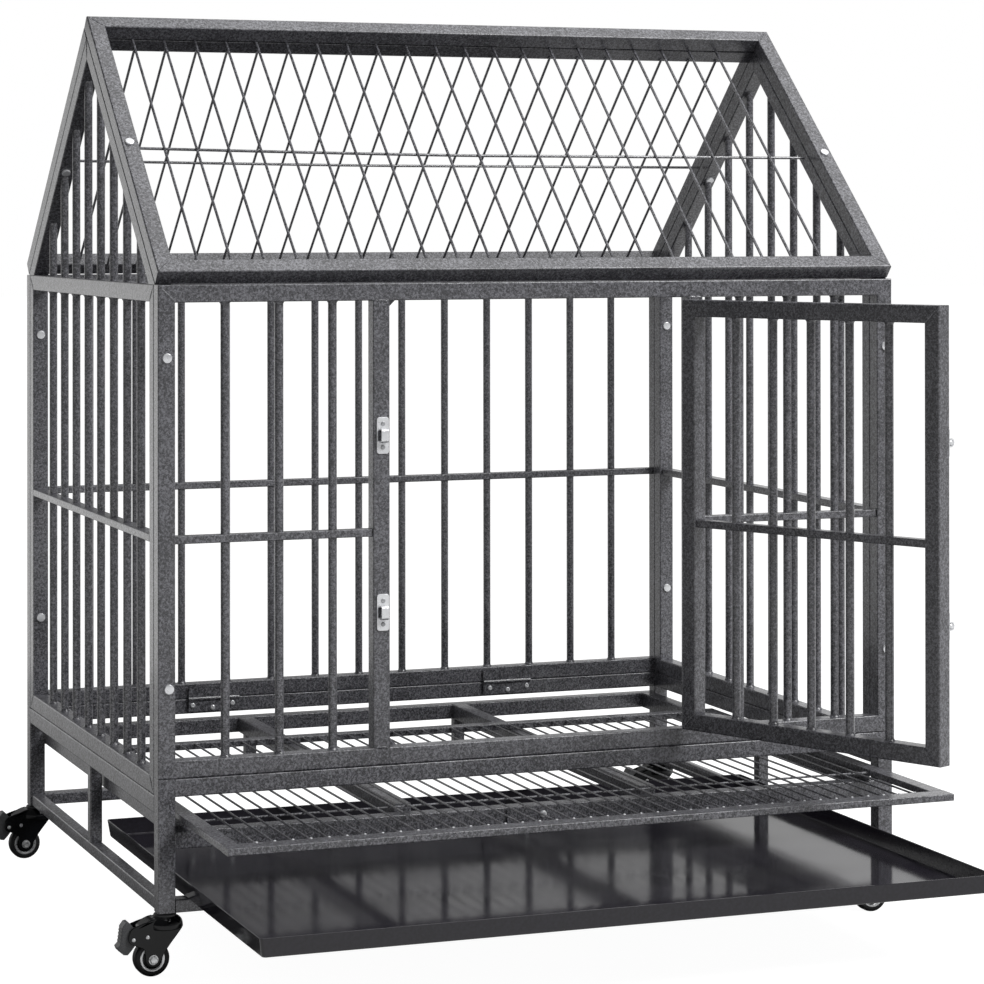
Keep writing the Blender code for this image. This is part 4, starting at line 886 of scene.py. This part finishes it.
def hub():
    """Dished hub with a boss and a raised lip, on both sides."""
    side = [(0.0033, 8.3), (0.0056, 8.3), (0.0060, 7.8), (0.0064, 5.6), (0.0104, 5.0), (0.0112, 5.6),
            (0.0116, 7.6), (0.0144, 7.9), (0.0146, 7.4)]
    top = np.array(side) * (1, 0.001)
    profile = np.vstack((top * (1, -1), top[::-1]))
    return [placed(turned(profile, 48, loop=True), STAND)]


def rim_rings():
    """Bright pressed ring on each side of the hub."""
    face = WHEEL_HALF - 0.0005
    profile = [(0.0108, face - 0.001), (0.0145, face - 0.001), (0.0145, face - 0.0001),
               (0.0137, face + 0.0005), (0.0120, face + 0.0005), (0.0108, face - 0.0003)]
    ring = turned(profile, 56, loop=True)
    return [placed(ring, STAND), placed(ring, FACING_BACK)]


def pedal():
    """Boot-shaped pedal carried along its width, with ribs across its tread and its rims rounded
    over a quarter circle."""
    ribs = [(-0.0126 - 0.0022 * t + 0.0011 * (k % 2), 0.0135 - 0.0175 * t)
            for k, t in enumerate(np.linspace(0, 1, 10))]
    outline = softened(np.array([(-0.0066, 0.021)] + ribs + [
        (-0.0191, -0.009), (-0.0076, -0.019), (-0.0001, -0.011), (0.0049, -0.004), (0.0049, 0.004),
        (-0.0001, 0.015)]), 1)
    width, edge = 0.008, 0.0006
    quarter = np.linspace(0, math.pi / 2, 5)
    rise = width - edge * np.cos(quarter) ** 2
    across = np.concatenate((-rise[::-1], rise))
    depths = edge * np.sin(quarter) ** 2
    rows = [np.column_stack((inset(outline, depth), np.full(len(outline), y)))
            for y, depth in zip(across, np.concatenate((depths[::-1], depths)))]
    return [placed(lattice(np.array(rows), caps=True), STAND, (-PIN_BACK, 0, -PIN_DROP))]


def stem():
    """Threaded stem, its nut and the bearing cup above the crown, and the riveted lower end."""
    top, low = 0.0235, CROWN_LOW
    profile = [(0, low - 0.0020), (0.0045, low - 0.0018), (0.0064, low - 0.0003),
               (0.0040, low - 0.0003), (0.0040, -0.0050), (0.0100, -0.0048), (0.0126, -0.0040),
               (0.0130, -0.0030), (0.0126, -0.0012), (0.0110, -0.0004), (0.0040, -0.0003),
               (0.0040, top - 0.001), (0.0034, top), (0, top)]
    return [turned(profile, 32)]


def dress_casters():
    for end, y in (("front", FRONT + TUBE / 2), ("back", BACK - TUBE / 2)):
        for side, x in (("left", -POST_X), ("right", POST_X)):
            key = end + "_" + side
            name = "caster_" + key + "_"
            swivel = np.array((x, y, LEG_FOOT))
            wheel = swivel + (-TRAIL, 0, -AXLE_DROP)
            parts = (("fork", "swivel_", BLACK_NYLON, fork(), swivel, True),
                     ("rivets", "swivel_", ZINC, rivets(), swivel, False),
                     ("axle", "swivel_", NICKEL, axle(), wheel, True),
                     ("tyre", "wheel_", RUBBER, tyre(), wheel, True),
                     ("hub", "wheel_", BLACK_NYLON, hub(), wheel, True),
                     ("rim_rings", "wheel_", NICKEL, rim_rings(), wheel, False),
                     ("pedal", "pedal_", GREY_NYLON, pedal(), swivel, True),
                     ("stem", "", BLACK_STEEL, stem(), swivel, True))
            for part, body, finish, forms, place, known in parts:
                build(name + part + "_dressed", body + key if body else "crate", finish,
                      [placed(form, place=place) for form in forms], [name + part] if known else ())


def bolt_heads():
    """Assembly bolts of the body and the roof, and the screws of the fold hinges."""
    forms = [bolt_head((x, FRONT, z)) for x, z in FRONT_BOLTS]
    forms += [bolt_head((x, BACK, z), FACING_BACK) for x in (-POST_X, POST_X) for z in BACK_BOLT_LEVELS]
    seam = BACK - 2 * TUBE - GAP
    forms += [bolt_head((x, seam, z)) for x in (-POST_X, POST_X) for z in SEAM_BOLT_LEVELS]
    for way in (-1, 1):
        turn = about("z", math.pi) @ about("x", ROOF_PITCH) if way > 0 else about("x", ROOF_PITCH)
        start = np.array((0, way * DEPTH / 2, EAVE_Z))
        for x, up in zip((-POST_X - ROOF_BOLT_SETBACK, POST_X), ROOF_BOLT_UP):
            outside, inside = (-way * x, up, 0), (-way * x, up, -2 * TUBE - GAP)
            forms.append(bolt_head(start + turn @ np.array(outside), turn))
            forms.append(bolt_head(start + turn @ np.array(inside), turn @ about("y", math.pi)))
    for x, z in FOLD_HINGE_SCREWS:
        forms.append(screw_head((x, BACK - TUBE - 0.0044, z), 0.0033, 0.0018))
    return forms


def dress():
    """Every node's fine form and finish."""
    length = DEPTH / 2 / PITCH_COS
    step = TUBE / math.sin(2 * ROOF_PITCH) + GAP / PITCH_SIN
    pitch = about("x", ROOF_PITCH)
    roof_front = [placed(form, pitch, (0, FRONT, EAVE_Z))
                  for form in roof_panel(length, 51, FRONT_ROOF_SHIFT, FRONT_ROOF_BEND)]
    roof_back = [placed(form, about("z", math.pi) @ pitch, (0, BACK, EAVE_Z))
                 for form in roof_panel(length - step, 61, BACK_ROOF_SHIFT, BACK_ROOF_BEND)]
    base_front = base_end_frame(FRONT_THIRD_RAIL_TOP, -GAP, (), FRONT + TUBE / 2, 71)
    base_back = base_end_frame(SHELF_TOP, BASE_TOP, BACK_POSTS, BACK - TUBE / 2, 81)
    fixed = [("front_panel", "", front_panel()), ("back_panel", "", back_panel()),
             ("roof_front", "_panel", roof_front), ("roof_back", "_panel", roof_back),
             ("base_front", "_frame", base_front), ("base_back", "_frame", base_back)]
    shelf_x = HALF_WIDTH - TUBE * 1.5 - GAP
    for side, way in (("left", -1), ("right", 1)):
        fixed += [(side + "_side", "_panel", side_panel(way)),
                  ("base_" + side, "_frame", base_side_frame(way)),
                  (side + "_shelf_rail", "", shelf_tube(way * shelf_x)),
                  (side + "_cross_bar", "", shelf_tube(CROSS_BARS[side]))]
    for name, kind, forms in fixed:
        build(name + "_dressed", "crate", COAT, forms, [name + kind])
    build("door_frame_dressed", "door", COAT, door_frame(), ["door_frame"])
    build("floor_grid_dressed", "grid", COAT, floor_grid(), ["floor_grid"])
    # Painted highlights: bright zinc domes where the grid's wire ends glint
    build("grid_wire_welds", "grid", ZINC, grid_wire_welds())
    build("tray_dressed", "drip_tray", ENAMEL, tray(), ["tray"])
    build("turn_catch_dressed", "catch", COAT, turn_catch(), ["turn_catch"])
    build("turn_catch_bolt_dressed", "crate", ZINC, catch_bolt(), ["turn_catch_bolt"])
    for level in LATCH_LEVELS:
        housing, housing_screws = latch_housing(level)
        plate, keeper_screws, painted_shade_sheet = keeper(level)
        build(level + "_latch_housing_dressed", "door", ZINC, housing,
              [level + "_latch_housing"])
        build(level + "_latch_screws", "door", ZINC, housing_screws)
        build(level + "_latch_bolt_dressed", level + "_bolt", ZINC, latch_bolt(level),
              [level + "_latch_bolt"])
        build(level + "_keeper_dressed", "crate", ZINC, plate, [level + "_keeper"])
        # Keeper screws darker than their plates: painted shade of their dimples
        build(level + "_keeper_screws", "crate", DIMPLE_SHADED_SCREW_STEEL, keeper_screws)
        # Painted shade under each keeper's strap: a thin sheet in the coat's colour
        build(level + "_keeper_window", "crate", COAT, painted_shade_sheet)
    build("assembly_bolts", "crate", ZINC, bolt_heads())
    dress_casters()
    for name, node in frame["nodes"].items():
        if "hinge" in name:
            finish = COAT if "fold" in name else BLACK_STEEL
            node.data.materials.clear()
            node.data.materials.append(finish[0])


# Stage, lights and camera

def larger(tree, first, second):
    return worked(tree, "MAXIMUM", first, second)


def stage():
    """Pale floor: white to the camera but for the object's soft shadow. In reflections it glows with
    painted light, white in front and at the right and dimmer at the back left, and has a painted
    shadow, dark near the object."""
    made, tree, shader = material("studio_floor")
    grey = linear("#8c8c8c")
    shader.inputs["Base Color"].default_value = linear("#646464")
    shader.inputs["Roughness"].default_value = 0.9
    path = add(tree, "LightPath")
    glossy = path.outputs["Is Glossy Ray"]
    direct = larger(tree, path.outputs["Is Camera Ray"], path.outputs["Is Transmission Ray"])
    seen = larger(tree, direct, glossy)
    x, y, _ = add(tree, "SeparateXYZ", {0: add(tree, "TexCoord").outputs["Object"]}).outputs
    # Painted light and shadow in reflections: to glossy rays the floor glows from dim at the left to
    # white at the right, drops to FLOOR_SHADE near the crate, and its grey is darker, #3c3c3c for
    # #8c8c8c
    across = worked(tree, "ABSOLUTE", x)
    ahead = graded(tree, y, *FLOOR_AHEAD, 0.0, 1.0)
    side = graded(tree, across, *FLOOR_SIDE, 0.0, 1.0)
    clear = larger(tree, larger(tree, ahead, side), graded(tree, y, *FLOOR_BEHIND, 0.0, 1.0))
    level = larger(tree, ahead, graded(tree, x, *FLOOR_SPAN, *FLOOR_LEVELS))
    sweep = worked(tree, "MULTIPLY_ADD", clear, level, FLOOR_SHADE)
    strength = graded(tree, glossy, 0.0, 1.0, FLOOR_GLOW, sweep)
    glow = add(tree, "Emission", {"Strength": strength})
    paint = add(tree, "MixRGB", {0: glossy, 1: grey, 2: linear("#3c3c3c")}).outputs[0]
    matt = add(tree, "BsdfDiffuse", {"Color": paint})
    lit = add(tree, "AddShader", {0: glow.outputs[0], 1: matt.outputs[0]})
    mixed = add(tree, "MixShader", {0: seen, 1: shader.outputs[0], 2: lit.outputs[0]})
    tree.links.new(mixed.outputs[0], tree.nodes["Material Output"].inputs[0])
    mesh = bpy.data.meshes.new("studio_floor")
    far = 30.0
    corners = [(-far, -far, 0), (far, -far, 0), (far, far, 0), (-far, far, 0)]
    mesh.from_pydata(corners, [], [(0, 1, 2, 3)])
    mesh.materials.append(made)
    floor = shown("studio_floor", mesh)


def world():
    """White to the camera. To reflections and as light it is a backdrop behind the object, white
    at the right and dimmer at the left, that falls off to a dim studio in front."""
    made = bpy.data.worlds.new("studio")
    made.use_nodes = True
    tree = made.node_tree
    path = add(tree, "LightPath")
    seen = larger(tree, path.outputs["Is Camera Ray"], path.outputs["Is Transmission Ray"])
    x, y, _ = add(tree, "SeparateXYZ", {0: add(tree, "TexCoord").outputs["Generated"]}).outputs
    behind = graded(tree, x, *BACKDROP_EDGE, BACKDROP_LEFT, 1.0)
    mirrored = graded(tree, y, 0.3, 1.0, BACKDROP_DIM, behind)
    soft = graded(tree, y, -0.2, 0.9, 0.22, 0.6)
    other = graded(tree, path.outputs["Is Glossy Ray"], 0.0, 1.0, soft, mirrored)
    strength = graded(tree, seen, 0.0, 1.0, other, 1.0)
    back = tree.nodes["Background"]
    back.inputs["Color"].default_value = (1, 1, 1, 1)
    tree.links.new(strength, back.inputs["Strength"])
    bpy.context.scene.world = made


def softbox(name, place, target, size, power):
    """Square area light at a place, facing a target."""
    data = bpy.data.lights.new(name, "AREA")
    data.shape = "SQUARE"
    data.size = size
    data.energy = power
    lamp = shown(name, data)
    lamp.location = place
    way = np.array(target, float) - place
    flat = math.hypot(way[0], way[1])
    lamp.rotation_euler = (math.atan2(flat, -way[2]), 0, math.atan2(way[1], way[0]) - math.pi / 2)


def camera():
    """Long lens at the height of the roof, turned 20.6 degrees to the right, framed by shift."""
    data = bpy.data.cameras.new("camera")
    data.sensor_width = 36.0
    data.lens = LENS
    data.shift_x, data.shift_y = SHIFT
    data.dof.use_dof = False
    heading, tilt, roll = np.radians(EYE_TURNS)
    turn = about("z", heading) @ about("x", tilt) @ about("z", roll)
    matrix = np.eye(4)
    matrix[:3, :3] = turn
    matrix[:3, 3] = EYE
    eye = shown("camera", data)
    eye.matrix_world = Matrix(matrix.tolist())
    bpy.context.scene.camera = eye


dress()
stage()
world()
for name, values in SOFTBOXES.items():
    softbox(name, *values)
camera()
bpy.context.scene.view_settings.view_transform = "Standard"
